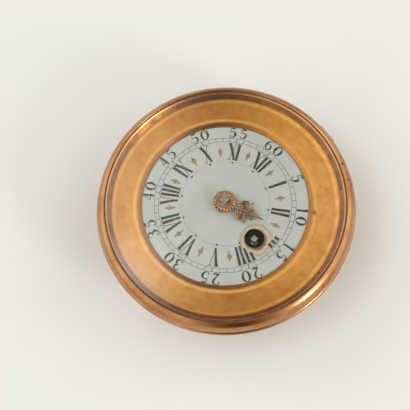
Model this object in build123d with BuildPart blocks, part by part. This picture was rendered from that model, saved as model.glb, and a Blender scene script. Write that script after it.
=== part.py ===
from build123d import *
import math
import os

# A small round table clock in a gilt drum, lying on its flat back with the dial up.
# Millimetres. The origin is the centre of the back, +Z is the outward normal of the dial
# and +Y points at twelve o'clock. Clock angles are degrees clockwise from twelve.

os.makedirs("parts", exist_ok=True)

# Clearances that serve every piece
fit_clear = 0.01
running_clear = 0.04
layer_gap = 0.3
end_shake = 0.1
cut_overrun = 1.0

# Dial and hour hand
dial_view_radius = 19.0
dial_overlap = 1.0
dial_edge_thick = 0.6
dial_dome = 0.5
dial_hole_radius = 2.0
winding_hole_radius = 2.25
winding_place_radius = 10.6
winding_clock_angle = 101.3
hand_length = 9.7
hand_half_width = 2.85
hand_thick = 0.3
hand_clock_angle = 76.0
hand_boss_radius = 2.2
hand_rise = 0.6
rosette_radius = 2.65
rosette_lobe_radius = 0.36
rosette_height = 0.35
rosette_crown = 0.4
rosette_collar_radius = 2.0
rosette_lobes = 20
foot_radius = 0.6
foot_place_radius = 15.0
foot_clock_angles = (10.0, 130.0, 260.0)
foot_drop = 0.7

# Gilt surround of the dial
surround_width = 7.1
surround_thick = 0.5
surround_lip_width = 2.4
surround_lip_rise = 0.1
surround_lip_edge = 0.2
surround_turn_up = 0.4
surround_turn_width = 1.0
surround_skirt = 0.6
surround_dial_gap = 0.1

# Drum, back and bezel
wall_clear = 0.1
drum_wall = 0.8
bead_reach = 2.8
bead_radius = 0.7
back_thick = 1.0
back_edge_round = 0.4
skirt_thick = 0.7
skirt_height = 1.6
ledge_width = 2.6
ledge_thick = 1.0
rim_gap = 0.1
surround_rim_drop = 1.15
bezel_inset = 0.4
bezel_toe_gap = 0.15
bezel_bevel_width = 1.25
bezel_bevel_height = 1.15
bezel_seat_width = 0.3
bezel_lip_height = 0.4
bezel_lip_width = 0.5
bezel_crown = 0.15
bezel_skirt = 0.4
bezel_side_bulge = 0.28
bezel_foot_inset = 0.45
glass_thick = 1.0
glass_rise = 2.3
glass_edge_thick = 0.35

# Hinge of the bezel
hinge_clock_angle = 14.0
hinge_knuckle_radius = 0.45
hinge_knuckle_length = 1.6
hinge_knuckle_gap = 0.1
hinge_pin_radius = 0.2
hinge_clear = 0.15
hinge_inset = 0.05

# Frame of the movement
pillar_plate_radius = 19.0
pillar_plate_thick = 1.2
top_plate_radius = 17.5
top_plate_thick = 1.0
pillar_place_radius = 16.3
pillar_clock_angles = (40.0, 150.0, 235.0, 305.0)
pillar_waist_radius = 0.75
pillar_foot_radius = 1.15
pillar_foot_height = 0.7
pillar_peg_radius = 0.5
pillar_peg_length = 0.65
pillar_pin_radius = 0.15
pillar_pin_length = 2.2
pillar_pin_gap = 0.03
ring_thick = 0.8
ring_overlap = 1.2
screw_radius = 0.35
screw_head_radius = 0.65
screw_head_height = 0.35
screw_depth = 0.8
screw_slot_width = 0.15
screw_slot_depth = 0.15
plate_screw_inset = 0.6
ledge_screw_inset = 0.8
ring_screw_clock_angles = (20.0, 140.0, 260.0)

# Teeth: height above and below the pitch circle as shares of the module,
# thickness at the pitch circle and at the tip as shares of the tooth pitch
wheel_tooth_shares = (0.95, 1.35, 0.40, 0.12)
pinion_leaf_shares = (0.45, 1.45, 0.30, 0.16)
crossing_count = 4

# Going train
great_teeth = 48
great_thick = 0.7
great_rim = 1.6
great_hub_radius = 2.0
great_arm = 1.2
centre_pinion_leaves = 16
centre_pinion_overlap = 0.05
centre_teeth = 54
centre_module = 0.23
centre_thick = 0.5
centre_rim = 1.0
centre_hub_radius = 1.5
centre_arm = 0.7
centre_pivot_radius = 0.3
centre_shaft_radius = 0.6
centre_seat_radius = 0.8
centre_bearing_radius = 0.7
centre_post_radius = 0.45
third_clock_angle = 300.0
third_pinion_leaves = 6
third_teeth = 48
third_module = 0.2
third_thick = 0.4
third_rim = 0.8
third_hub_radius = 1.0
third_arm = 0.5
third_shaft_radius = 0.4
slim_pivot_radius = 0.2
contrate_turn = 75.0
contrate_pinion_leaves = 6
contrate_pinion_height = 0.9
contrate_teeth = 48
crown_pinion_leaves = 6
crown_module = 0.15
contrate_disc_thick = 0.3
contrate_rim = 0.35
contrate_tooth_drop = 0.42
contrate_tooth_rise = 0.1
contrate_root_share = 0.42
contrate_tip_share = 0.2
contrate_shaft_radius = 0.35
contrate_hub_radius = 0.9
contrate_arm = 0.5
crown_axis_rise = 2.6
crown_teeth = 15
crown_outer_radius = 2.15
crown_band = 0.35
crown_disc_thick = 0.4
crown_tooth_length = 0.9
crown_tooth_share = 0.8
crown_shaft_radius = 0.2
crown_pivot_radius = 0.12
crown_pinion_length = 0.6
crown_tip_to_potence = 0.25
counter_potence_thick = 0.8
counter_potence_half = 0.6
counter_potence_gap = 0.4
potence_thick = 0.5
potence_half_height = 0.5
potence_nose = 0.45
potence_column_gap = 0.45
potence_column_depth = 1.6
potence_column_width = 2.0
peg_radius = 0.45
peg_depth = 0.6

# Fusee, chain and barrel
fusee_height = 3.0
fusee_large_radius = 6.0
fusee_small_radius = 3.2
fusee_turns = 5
fusee_groove_depth = 0.45
fusee_land_share = 0.3
fusee_bottom_gap = 0.3
fusee_wheel_gap = 0.2
fusee_shaft_radius = 0.9
fusee_pivot_radius = 0.35
fusee_bearing_radius = 0.8
winding_square = 1.2
winding_square_drop = 0.6
barrel_clock_angle = 194.3
barrel_place_radius = 10.8
barrel_radius = 6.8
barrel_wall = 0.4
barrel_floor = 0.5
barrel_lid_thick = 0.5
barrel_shaft_radius = 0.6
barrel_hub_radius = 1.5
barrel_pivot_radius = 0.5
spring_wall_gap = 0.3
chain_thick = 0.3
chain_height = 0.4
chain_clear = 0.1
chain_barrel_wrap = 250.0
chain_fusee_wrap = 200.0
ratchet_radius = 2.0
ratchet_teeth = 20
ratchet_tooth_depth = 0.3
ratchet_thick = 0.5
click_gap = 0.12
click_pivot_distance = 3.4
click_boss_radius = 0.7
click_lean = 60.0

# Balance and verge
verge_place_x = 3.0
verge_staff_radius = 0.3
verge_seat_radius = 0.45
verge_pivot_radius = 0.15
verge_passage_radius = 1.2
pallet_length = 1.0
pallet_thick = 0.25
pallet_height = 0.8
pallet_half_angle = 47.5
pallet_tooth_gap = 0.1
balance_radius = 8.0
balance_rim = 0.8
balance_thick = 0.6
balance_hub_radius = 1.2
balance_arm = 0.7
balance_arms = 3
hairspring_inner_radius = 1.0
hairspring_outer_radius = 3.2
hairspring_turns = 3
hairspring_end_angle = 200.0
hairspring_thick = 0.12
hairspring_height = 0.25
hairspring_steps_per_turn = 12
stud_width = 0.8
stud_peg_radius = 0.35
stud_gap = 0.05
stud_drop = 0.1
cock_table_radius = 5.5
cock_thick = 0.7
cock_arm_width = 3.0
cock_leg_radius = 1.35
cock_leg_gap = 0.25
cock_back_gap = 1.2
cock_window_radius = 1.1
cock_window_place_radius = 3.5
cock_windows = 6
cock_screw_radius = 0.5
cock_screw_head_radius = 0.9
cock_screw_head_height = 0.45

# Motion work under the dial
motion_gap = 0.2
motion_thick = 0.5
motion_distance = 5.4
motion_clock_angle = 315.0
cannon_leaves = 12
minute_teeth = 36
minute_pinion_leaves = 10
hour_teeth = 40
minute_pinion_rise = 0.1
cannon_pipe_radius = 1.15
cannon_square = 1.6
cannon_square_height = 1.6
cannon_tip_gap = 0.2
hour_pipe_wall = 0.4
hour_pipe_rise = 0.2
stud_post_radius = 0.38
stud_collar_radius = 0.8
stud_collar_gap = 0.05
stud_tip_gap = 0.1
under_dial_gap = 0.4

# Heights, stacked from the back up to the glass
cock_bottom = back_thick + cock_back_gap
cock_top = cock_bottom + cock_thick
balance_bottom = cock_top + 2 * layer_gap
balance_top = balance_bottom + balance_thick
hairspring_bottom = balance_top + layer_gap
hairspring_top = hairspring_bottom + hairspring_height
top_plate_bottom = hairspring_top + layer_gap
top_plate_top = top_plate_bottom + top_plate_thick
fusee_bottom = top_plate_top + fusee_bottom_gap
fusee_top = fusee_bottom + fusee_height
great_bottom = fusee_top + fusee_wheel_gap
great_top = great_bottom + great_thick
centre_bottom = great_top + layer_gap
centre_top = centre_bottom + centre_thick
pillar_plate_bottom = centre_top + 2 * end_shake
pillar_plate_top = pillar_plate_bottom + pillar_plate_thick
minute_bottom = pillar_plate_top + motion_gap
minute_top = minute_bottom + motion_thick
hour_bottom = minute_top + motion_gap
hour_top = hour_bottom + motion_thick
dial_bottom = hour_top + under_dial_gap
dial_edge_top = dial_bottom + dial_edge_thick
dial_top = dial_edge_top + dial_dome
hand_bottom = dial_top + hand_rise
hand_top = hand_bottom + hand_thick
rosette_top = hand_top + rosette_height + rosette_crown
surround_bottom = dial_edge_top + surround_dial_gap
surround_flat = surround_bottom + surround_thick
surround_rim = surround_flat + surround_turn_up
case_top = surround_rim - surround_rim_drop
bead_bottom = case_top - 2 * bead_radius
bezel_bottom = case_top + rim_gap
bezel_toe = surround_rim + bezel_toe_gap
bezel_seat = bezel_toe + bezel_bevel_height
bezel_rim = bezel_seat + bezel_lip_height
ring_top = pillar_plate_top + ring_thick
ledge_bottom = pillar_plate_top - ledge_thick

# Radii, stepped outward from the dial
dial_radius = dial_view_radius + dial_overlap
surround_radius = dial_view_radius + surround_width
drum_inner = surround_radius + wall_clear
drum_outer = drum_inner + drum_wall
bead_outer = drum_outer + bead_reach
ledge_inner = drum_inner - ledge_width
bezel_outer = bead_outer - bezel_inset
bezel_foot = surround_radius + bezel_foot_inset
bezel_toe_radius = surround_radius - bezel_toe_gap
bezel_seat_inner = bezel_toe_radius + bezel_bevel_width
glass_radius = bezel_seat_inner + bezel_seat_width - fit_clear
ring_inner = pillar_plate_radius - ring_overlap
ring_outer = surround_radius


def clock_place(radius, clock_angle):
    """Point at a radius and at an angle counted clockwise from twelve."""
    turn = math.radians(clock_angle)
    return (radius * math.sin(turn), radius * math.cos(turn))


def heading(start, end):
    """Direction from one point to another, in degrees counter-clockwise from +X."""
    return math.degrees(math.atan2(end[1] - start[1], end[0] - start[0]))


def polar_place(centre, radius, angle):
    """Point at a radius and a counter-clockwise angle about a centre."""
    turn = math.radians(angle)
    return (centre[0] + radius * math.cos(turn), centre[1] + radius * math.sin(turn))


def upright_plane(place):
    """Plane through a standing axis, with local x as radius and local y as height."""
    return Plane(origin=(place[0], place[1], 0), x_dir=(1, 0, 0), z_dir=(0, -1, 0))


def upright_axis(place):
    """Standing axis through a place on the plates."""
    return Axis((place[0], place[1], 0), (0, 0, 1))


def draw_toothed(centre, teeth, module, shares, first_tooth):
    """Toothed outline whose first tooth points along the given angle, as a face."""
    above_share, below_share, thick_share, tip_share = shares
    pitch_radius = teeth * module / 2
    root_radius = pitch_radius - below_share * module
    tip_radius = pitch_radius + above_share * module
    pitch_angle = 360 / teeth
    half_thick = thick_share * pitch_angle / 2
    half_tip = tip_share * pitch_angle / 2
    corners = (
        (root_radius, -half_thick),
        (pitch_radius, -half_thick),
        (tip_radius, -half_tip),
        (tip_radius, half_tip),
        (pitch_radius, half_thick),
        (root_radius, half_thick),
    )
    points = []
    for tooth in range(teeth):
        middle = first_tooth + tooth * pitch_angle
        for radius, lean in corners:
            points.append(polar_place(centre, radius, middle + lean))
    Polygon(*points, align=None)


def draw_crossings(centre, hub_radius, rim_radius, arm_width, arms, first_arm):
    """Windows between the arms of a crossed-out wheel, as faces."""
    with Locations(centre):
        Circle(rim_radius)
        Circle(hub_radius, mode=Mode.SUBTRACT)
    for arm in range(arms):
        angle = first_arm + arm * 360 / arms
        with Locations(polar_place(centre, rim_radius / 2, angle)):
            Rectangle(rim_radius + arm_width, arm_width, rotation=angle, mode=Mode.SUBTRACT)


def draw_turned(bottom, *steps):
    """Half section of a turned piece, from steps of radius and upper height, as a face."""
    points = [(0, bottom)]
    level = bottom
    for radius, top in steps:
        points += [(radius, level), (radius, top)]
        level = top
    points.append((0, level))
    Polygon(*points, align=None)


def cap_height(edge_radius, rise, radius):
    """Height of a shallow round cap above its edge, at a radius."""
    sphere = (edge_radius**2 + rise**2) / (2 * rise)
    return math.sqrt(sphere**2 - radius**2) - (sphere - rise)


# Places of the axes on the plates
centre_place = (0, 0)
fusee_place = clock_place(winding_place_radius, winding_clock_angle)
barrel_place = clock_place(barrel_place_radius, barrel_clock_angle)
third_distance = (centre_teeth + third_pinion_leaves) * centre_module / 2
third_place = clock_place(third_distance, third_clock_angle)
contrate_distance = (third_teeth + contrate_pinion_leaves) * third_module / 2
contrate_place = polar_place(third_place, contrate_distance, contrate_turn)
verge_place = (verge_place_x, contrate_place[1])
motion_place = clock_place(motion_distance, motion_clock_angle)
great_module = 2 * winding_place_radius / (great_teeth + centre_pinion_leaves)
minute_module = 2 * motion_distance / (cannon_leaves + minute_teeth)
hour_module = 2 * motion_distance / (minute_pinion_leaves + hour_teeth)
great_radius = great_teeth * great_module / 2
centre_radius = centre_teeth * centre_module / 2
third_radius = third_teeth * third_module / 2
contrate_radius = contrate_teeth * crown_module / 2
crown_pitch_radius = crown_pinion_leaves * crown_module / 2

# Heights and stations of the contrate wheel and the level crown arbor
crown_axis = top_plate_top + crown_axis_rise
contrate_pitch = crown_axis - crown_pitch_radius
contrate_top = contrate_pitch - contrate_tooth_drop
contrate_bottom = contrate_top - contrate_disc_thick
contrate_tip = contrate_pitch + contrate_tooth_rise
third_bottom = contrate_tip + layer_gap
crown_tip_x = verge_place_x - pallet_length - pallet_tooth_gap
crown_disc_end_x = crown_tip_x - crown_tooth_length
crown_disc_start_x = crown_disc_end_x - crown_disc_thick
potence_start_x = crown_tip_x + crown_tip_to_potence
potence_end_x = potence_start_x + potence_thick - 2 * end_shake
pinion_mid_x = contrate_place[0] + contrate_radius - contrate_rim / 2
counter_end_x = pinion_mid_x - crown_pinion_length / 2 - layer_gap
counter_start_x = counter_end_x - counter_potence_thick

# Hinge of the bezel: its axis is tangent to the rim and lies on the parting line
hinge_radius = bezel_outer - hinge_inset
hinge_height = case_top + rim_gap / 2
hinge_outward = clock_place(1, hinge_clock_angle)
hinge_along = (hinge_outward[1], -hinge_outward[0])
hinge_reach = 1.5 * hinge_knuckle_length + hinge_knuckle_gap


def hinge_plane(station):
    """Plane across the hinge axis at a distance from the middle of the hinge."""
    return Plane(
        origin=(
            hinge_outward[0] * hinge_radius + hinge_along[0] * station,
            hinge_outward[1] * hinge_radius + hinge_along[1] * station,
            hinge_height,
        ),
        x_dir=(hinge_outward[0], hinge_outward[1], 0),
        z_dir=(hinge_along[0], hinge_along[1], 0),
    )


outer_knuckle_starts = (
    hinge_knuckle_length / 2 + hinge_knuckle_gap,
    -hinge_reach,
)

# Case: drum wall, ledge for the movement ring, girth bead and the two fixed knuckles
with BuildPart() as case_body:
    with BuildSketch(Plane.XZ):
        with BuildLine():
            Polyline(
                (bead_outer - bead_radius, case_top),
                (drum_inner, case_top),
                (drum_inner, pillar_plate_top),
                (ledge_inner, pillar_plate_top),
                (ledge_inner, ledge_bottom),
                (drum_inner, ledge_bottom),
                (drum_inner, back_thick),
                (drum_outer, back_thick),
                (drum_outer, bead_bottom),
                (bead_outer - bead_radius, bead_bottom),
            )
            ThreePointArc(
                (bead_outer - bead_radius, bead_bottom),
                (bead_outer, bead_bottom + bead_radius),
                (bead_outer - bead_radius, case_top),
            )
        make_face()
    revolve(axis=Axis.Z)
    with BuildSketch(hinge_plane(-hinge_knuckle_length / 2 - hinge_knuckle_gap)):
        Circle(hinge_knuckle_radius + hinge_clear)
    extrude(amount=hinge_knuckle_length + 2 * hinge_knuckle_gap, mode=Mode.SUBTRACT)
    for station in outer_knuckle_starts:
        with BuildSketch(hinge_plane(station)):
            Circle(hinge_knuckle_radius)
        extrude(amount=hinge_knuckle_length)
    with BuildSketch(hinge_plane(-hinge_reach)):
        Circle(hinge_pin_radius + fit_clear)
    extrude(amount=2 * hinge_reach, mode=Mode.SUBTRACT)
    with BuildSketch(Plane.XY.offset(pillar_plate_top)):
        for clock_angle in ring_screw_clock_angles:
            with Locations(clock_place(ledge_inner + ledge_screw_inset, clock_angle)):
                Circle(screw_radius + fit_clear)
    extrude(amount=-screw_depth, mode=Mode.SUBTRACT)
case_body.part.label = "case_body"
export_step(case_body.part, "parts/case_body.step")

# Back: a flat lid with a skirt that snaps inside the drum wall
with BuildPart() as case_back:
    with BuildSketch():
        Circle(drum_outer)
    extrude(amount=back_thick)
    fillet(case_back.edges().group_by(Axis.Z)[0], back_edge_round)
    with BuildSketch(Plane.XY.offset(back_thick)):
        Circle(drum_inner - fit_clear)
        Circle(drum_inner - skirt_thick, mode=Mode.SUBTRACT)
    extrude(amount=skirt_height)
case_back.part.label = "case_back"
export_step(case_back.part, "parts/case_back.step")

# Bezel: inner bevel, seat for the glass, bulging side and the middle knuckle
bezel_crest = (bezel_seat_inner + bezel_seat_width + bezel_lip_width, bezel_rim + bezel_crown)
bezel_shoulder = (bezel_outer, bezel_bottom + bezel_skirt)
bezel_side = math.dist(bezel_crest, bezel_shoulder)
bezel_bulge_middle = (
    (bezel_crest[0] + bezel_shoulder[0]) / 2
    + bezel_side_bulge * (bezel_crest[1] - bezel_shoulder[1]) / bezel_side,
    (bezel_crest[1] + bezel_shoulder[1]) / 2
    + bezel_side_bulge * (bezel_shoulder[0] - bezel_crest[0]) / bezel_side,
)
with BuildPart() as bezel:
    with BuildSketch(Plane.XZ):
        with BuildLine():
            Polyline(
                bezel_shoulder,
                (bezel_outer, bezel_bottom),
                (bezel_foot, bezel_bottom),
                (bezel_foot, bezel_toe),
                (bezel_toe_radius, bezel_toe),
                (bezel_seat_inner, bezel_seat),
                (bezel_seat_inner + bezel_seat_width, bezel_seat),
                (bezel_seat_inner + bezel_seat_width, bezel_rim),
                bezel_crest,
            )
            ThreePointArc(bezel_crest, bezel_bulge_middle, bezel_shoulder)
        make_face()
    revolve(axis=Axis.Z)
    for station in outer_knuckle_starts:
        with BuildSketch(hinge_plane(station - hinge_knuckle_gap)):
            Circle(hinge_knuckle_radius + hinge_clear)
        extrude(amount=hinge_knuckle_length + 2 * hinge_knuckle_gap, mode=Mode.SUBTRACT)
    with BuildSketch(hinge_plane(-hinge_knuckle_length / 2)):
        Circle(hinge_knuckle_radius)
    extrude(amount=hinge_knuckle_length)
    with BuildSketch(hinge_plane(-hinge_reach)):
        Circle(hinge_pin_radius + running_clear)
    extrude(amount=2 * hinge_reach, mode=Mode.SUBTRACT)
bezel.part.label = "bezel"
export_step(bezel.part, "parts/bezel.step")

# Hinge pin, tight in the case knuckles and free in the bezel knuckle
with BuildPart() as bezel_hinge_pin:
    with BuildSketch(hinge_plane(-hinge_reach)):
        Circle(hinge_pin_radius)
    extrude(amount=2 * hinge_reach)
bezel_hinge_pin.part.label = "bezel_hinge_pin"
export_step(bezel_hinge_pin.part, "parts/bezel_hinge_pin.step")

# Domed glass, resting on the seat of the bezel
with BuildPart() as crystal:
    inner_edge = bezel_seat_inner
    with BuildSketch(Plane.XZ):
        with BuildLine():
            ThreePointArc(
                (0, bezel_seat + glass_rise),
                (inner_edge / 2, bezel_seat + cap_height(inner_edge, glass_rise, inner_edge / 2)),
                (inner_edge, bezel_seat),
            )
            Polyline(
                (inner_edge, bezel_seat),
                (glass_radius, bezel_seat),
                (glass_radius, bezel_seat + glass_edge_thick),
            )
            outer_rise = glass_rise + glass_thick - glass_edge_thick
            outer_mid = cap_height(glass_radius, outer_rise, glass_radius / 2)
            ThreePointArc(
                (glass_radius, bezel_seat + glass_edge_thick),
                (glass_radius / 2, bezel_seat + glass_edge_thick + outer_mid),
                (0, bezel_seat + glass_rise + glass_thick),
            )
            Line((0, bezel_seat + glass_rise + glass_thick), (0, bezel_seat + glass_rise))
        make_face()
    revolve(axis=Axis.Z)
crystal.part.label = "crystal"
export_step(crystal.part, "parts/crystal.step")

# Gilt surround: rounded lip round the dial, flat band, turned-up rim and skirt
with BuildPart() as dial_surround:
    lip_end = dial_view_radius + surround_lip_width
    with BuildSketch(Plane.XZ):
        with BuildLine():
            Polyline(
                (dial_view_radius, surround_bottom + surround_lip_edge),
                (dial_view_radius, surround_bottom),
                (surround_radius - surround_skirt, surround_bottom),
                (surround_radius - surround_skirt, ring_top),
                (surround_radius, ring_top),
                (surround_radius, surround_rim),
                (surround_radius - surround_turn_width / 2, surround_rim),
                (surround_radius - 1.5 * surround_turn_width, surround_flat),
                (lip_end, surround_flat),
            )
            ThreePointArc(
                (lip_end, surround_flat),
                (dial_view_radius + surround_lip_width / 2, surround_flat + surround_lip_rise),
                (dial_view_radius, surround_bottom + surround_lip_edge),
            )
        make_face()
    revolve(axis=Axis.Z)
dial_surround.part.label = "dial_surround"
export_step(dial_surround.part, "parts/dial_surround.step")

# Ring that carries the movement, screwed to the ledge of the case and to the pillar plate
ring_screw_places = []
for clock_angle in ring_screw_clock_angles:
    ring_screw_places.append(clock_place(ledge_inner + ledge_screw_inset, clock_angle))
    ring_screw_places.append(clock_place(pillar_plate_radius - plate_screw_inset, clock_angle))
with BuildPart() as movement_ring:
    with BuildSketch(Plane.XY.offset(pillar_plate_top)):
        Circle(ring_outer)
        Circle(ring_inner, mode=Mode.SUBTRACT)
        with Locations(*ring_screw_places):
            Circle(screw_radius + fit_clear, mode=Mode.SUBTRACT)
    extrude(amount=ring_thick)
movement_ring.part.label = "movement_ring"
export_step(movement_ring.part, "parts/movement_ring.step")

# Slotted screws of the movement ring
with BuildPart() as ring_screws:
    with BuildSketch(Plane.XY.offset(ring_top)):
        with Locations(*ring_screw_places):
            Circle(screw_radius)
    extrude(amount=-ring_thick - screw_depth)
    with BuildSketch(Plane.XY.offset(ring_top)):
        with Locations(*ring_screw_places):
            Circle(screw_head_radius)
    extrude(amount=screw_head_height)
    with BuildSketch(Plane.XY.offset(ring_top + screw_head_height)):
        with Locations(*ring_screw_places):
            Rectangle(2 * screw_head_radius, screw_slot_width)
    extrude(amount=-screw_slot_depth, mode=Mode.SUBTRACT)
ring_screws.part.label = "ring_screws"
export_step(ring_screws.part, "parts/ring_screws.step")

# Enamel dial, slightly domed, with the centre hole and the winding hole
with BuildPart() as dial:
    with BuildSketch(Plane.XZ):
        with BuildLine():
            Polyline(
                (0, dial_top),
                (0, dial_bottom),
                (dial_radius, dial_bottom),
                (dial_radius, dial_edge_top),
            )
            ThreePointArc(
                (dial_radius, dial_edge_top),
                (dial_radius / 2, dial_edge_top + cap_height(dial_radius, dial_dome, dial_radius / 2)),
                (0, dial_top),
            )
        make_face()
    revolve(axis=Axis.Z)
    with BuildSketch(Plane.XY.offset(dial_bottom)):
        Circle(dial_hole_radius)
        with Locations(fusee_place):
            Circle(winding_hole_radius)
    extrude(amount=dial_top - dial_bottom + cut_overrun, mode=Mode.SUBTRACT)
dial.part.label = "dial"
export_step(dial.part, "parts/dial.step")

# Copper feet of the dial, through the pillar plate
foot_places = [clock_place(foot_place_radius, angle) for angle in foot_clock_angles]
with BuildPart() as dial_feet:
    with BuildSketch(Plane.XY.offset(dial_bottom)):
        with Locations(*foot_places):
            Circle(foot_radius)
    extrude(amount=pillar_plate_bottom - foot_drop - dial_bottom)
    for place, clock_angle in zip(foot_places, foot_clock_angles):
        pin_plane = Plane(
            origin=(place[0], place[1], pillar_plate_bottom - pillar_pin_radius - pillar_pin_gap),
            x_dir=(0, 0, 1),
            z_dir=(*clock_place(1, clock_angle), 0),
        )
        with BuildSketch(pin_plane):
            Circle(pillar_pin_radius + fit_clear)
        extrude(amount=2 * foot_radius, both=True, mode=Mode.SUBTRACT)
dial_feet.part.label = "dial_feet"
export_step(dial_feet.part, "parts/dial_feet.step")

# Pins through the dial feet, under the pillar plate
with BuildPart() as dial_foot_pins:
    for place, clock_angle in zip(foot_places, foot_clock_angles):
        pin_plane = Plane(
            origin=(place[0], place[1], pillar_plate_bottom - pillar_pin_radius - pillar_pin_gap),
            x_dir=(0, 0, 1),
            z_dir=(*clock_place(1, clock_angle), 0),
        )
        with BuildSketch(pin_plane):
            Circle(pillar_pin_radius)
        extrude(amount=pillar_pin_length / 2, both=True)
dial_foot_pins.part.label = "dial_foot_pins"
export_step(dial_foot_pins.part, "parts/dial_foot_pins.step")

# Hour hand: boss on the hour pipe and a pierced, pointed blade.
# The outline's shares are of the hand's length and of its half width.
hand_outline_shares = (
    (0.18, 0.17),
    (0.31, 0.17),
    (0.345, 0.50),
    (0.41, 0.78),
    (0.50, 0.82),
    (0.56, 0.72),
    (0.62, 1.0),
    (0.655, 0.62),
    (0.70, 0.42),
    (0.74, 0.52),
    (0.775, 0.32),
    (0.80, 0.17),
    (0.86, 0.20),
)
hand_hole_shares = ((0.44, 0.42, 0.20), (0.555, 0.40, 0.15), (0.655, 0.22, 0.09))
hour_pipe_bore = cannon_pipe_radius + running_clear
hour_pipe_radius = hour_pipe_bore + hour_pipe_wall
hand_plane = Plane(
    origin=(0, 0, hand_bottom),
    x_dir=(*clock_place(1, hand_clock_angle), 0),
    z_dir=(0, 0, 1),
)
with BuildPart() as hour_hand:
    with BuildSketch(hand_plane):
        right_side = [(a * hand_length, b * hand_half_width) for a, b in hand_outline_shares]
        left_side = [(x, -y) for x, y in reversed(right_side)]
        with BuildLine():
            Polyline(*right_side, (hand_length, 0), *left_side, close=True)
        make_face()
        for along_share, out_share, size_share in hand_hole_shares:
            for side in (1, -1):
                with Locations((along_share * hand_length, side * out_share * hand_half_width)):
                    Circle(size_share * hand_half_width, mode=Mode.SUBTRACT)
        Circle(hand_boss_radius)
        Circle(hour_pipe_radius + fit_clear, mode=Mode.SUBTRACT)
    extrude(amount=hand_thick)
hour_hand.part.label = "hour_hand"
export_step(hour_hand.part, "parts/hour_hand.step")

# Fluted rosette over the boss of the hand
with BuildPart() as hand_rosette:
    with BuildSketch(Plane.XY.offset(hand_top)):
        Circle(rosette_radius - rosette_lobe_radius)
        with PolarLocations(rosette_radius - rosette_lobe_radius, rosette_lobes):
            Circle(rosette_lobe_radius)
    extrude(amount=rosette_height)
    with BuildSketch(Plane.XY.offset(hand_top + rosette_height)):
        Circle(rosette_collar_radius)
    extrude(amount=rosette_crown)
    chamfer(hand_rosette.edges().group_by(Axis.Z)[-1], rosette_crown / 2)
    with BuildSketch(Plane.XY.offset(hand_top)):
        Circle(hour_pipe_radius + fit_clear)
    extrude(amount=rosette_height + rosette_crown, mode=Mode.SUBTRACT)
hand_rosette.part.label = "hand_rosette"
export_step(hand_rosette.part, "parts/hand_rosette.step")

# Cannon pinion: leaves, pipe and the square for the minute hand, bored for the centre post
motion_angle = heading(centre_place, motion_place)
cannon_bore = centre_post_radius + running_clear
cannon_square_bottom = rosette_top - cannon_square_height / 2
cannon_top = cannon_square_bottom + cannon_square_height
with BuildPart() as cannon_pinion:
    with BuildSketch(Plane.XY.offset(minute_bottom)):
        draw_toothed(
            centre_place,
            cannon_leaves,
            minute_module,
            pinion_leaf_shares,
            motion_angle + 180 / cannon_leaves,
        )
    extrude(amount=motion_thick)
    with BuildSketch(Plane.XY.offset(minute_top)):
        Circle(cannon_pipe_radius)
    extrude(amount=cannon_square_bottom - minute_top)
    with BuildSketch(Plane.XY.offset(cannon_square_bottom)):
        Rectangle(cannon_square, cannon_square)
    extrude(amount=cannon_square_height)
    with BuildSketch(Plane.XY.offset(minute_bottom)):
        Circle(cannon_bore)
    extrude(amount=cannon_top - minute_bottom, mode=Mode.SUBTRACT)
cannon_pinion.part.label = "cannon_pinion"
export_step(cannon_pinion.part, "parts/cannon_pinion.step")

# Hour wheel with the pipe that carries the hour hand
with BuildPart() as hour_wheel:
    with BuildSketch(Plane.XY.offset(hour_bottom)):
        draw_toothed(centre_place, hour_teeth, hour_module, wheel_tooth_shares, motion_angle)
    extrude(amount=motion_thick)
    with BuildSketch(Plane.XY.offset(hour_top)):
        Circle(hour_pipe_radius)
    extrude(amount=rosette_top - hour_pipe_rise - hour_top)
    with BuildSketch(Plane.XY.offset(hour_bottom)):
        Circle(hour_pipe_bore)
    extrude(amount=rosette_top - hour_bottom, mode=Mode.SUBTRACT)
hour_wheel.part.label = "hour_wheel"
export_step(hour_wheel.part, "parts/hour_wheel.step")

# Minute wheel with its pinion, turning on the stud
minute_pinion_top = hour_top + minute_pinion_rise
with BuildPart() as minute_wheel:
    with BuildSketch(Plane.XY.offset(minute_bottom)):
        draw_toothed(
            motion_place, minute_teeth, minute_module, wheel_tooth_shares, motion_angle + 180
        )
    extrude(amount=motion_thick)
    with BuildSketch(Plane.XY.offset(minute_top)):
        draw_toothed(
            motion_place,
            minute_pinion_leaves,
            hour_module,
            pinion_leaf_shares,
            motion_angle + 180 + 180 / minute_pinion_leaves,
        )
    extrude(amount=minute_pinion_top - minute_top)
    with BuildSketch(Plane.XY.offset(minute_bottom)):
        with Locations(motion_place):
            Circle(stud_post_radius + running_clear)
    extrude(amount=minute_pinion_top - minute_bottom, mode=Mode.SUBTRACT)
minute_wheel.part.label = "minute_wheel"
export_step(minute_wheel.part, "parts/minute_wheel.step")

# Stud of the minute wheel, with a peg in the pillar plate
with BuildPart() as minute_stud:
    with BuildSketch(upright_plane(motion_place)):
        draw_turned(
            pillar_plate_top - peg_depth,
            (peg_radius, pillar_plate_top),
            (stud_collar_radius, minute_bottom - stud_collar_gap),
            (stud_post_radius, minute_pinion_top + stud_tip_gap),
        )
    revolve(axis=upright_axis(motion_place))
minute_stud.part.label = "minute_stud"
export_step(minute_stud.part, "parts/minute_stud.step")

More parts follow.
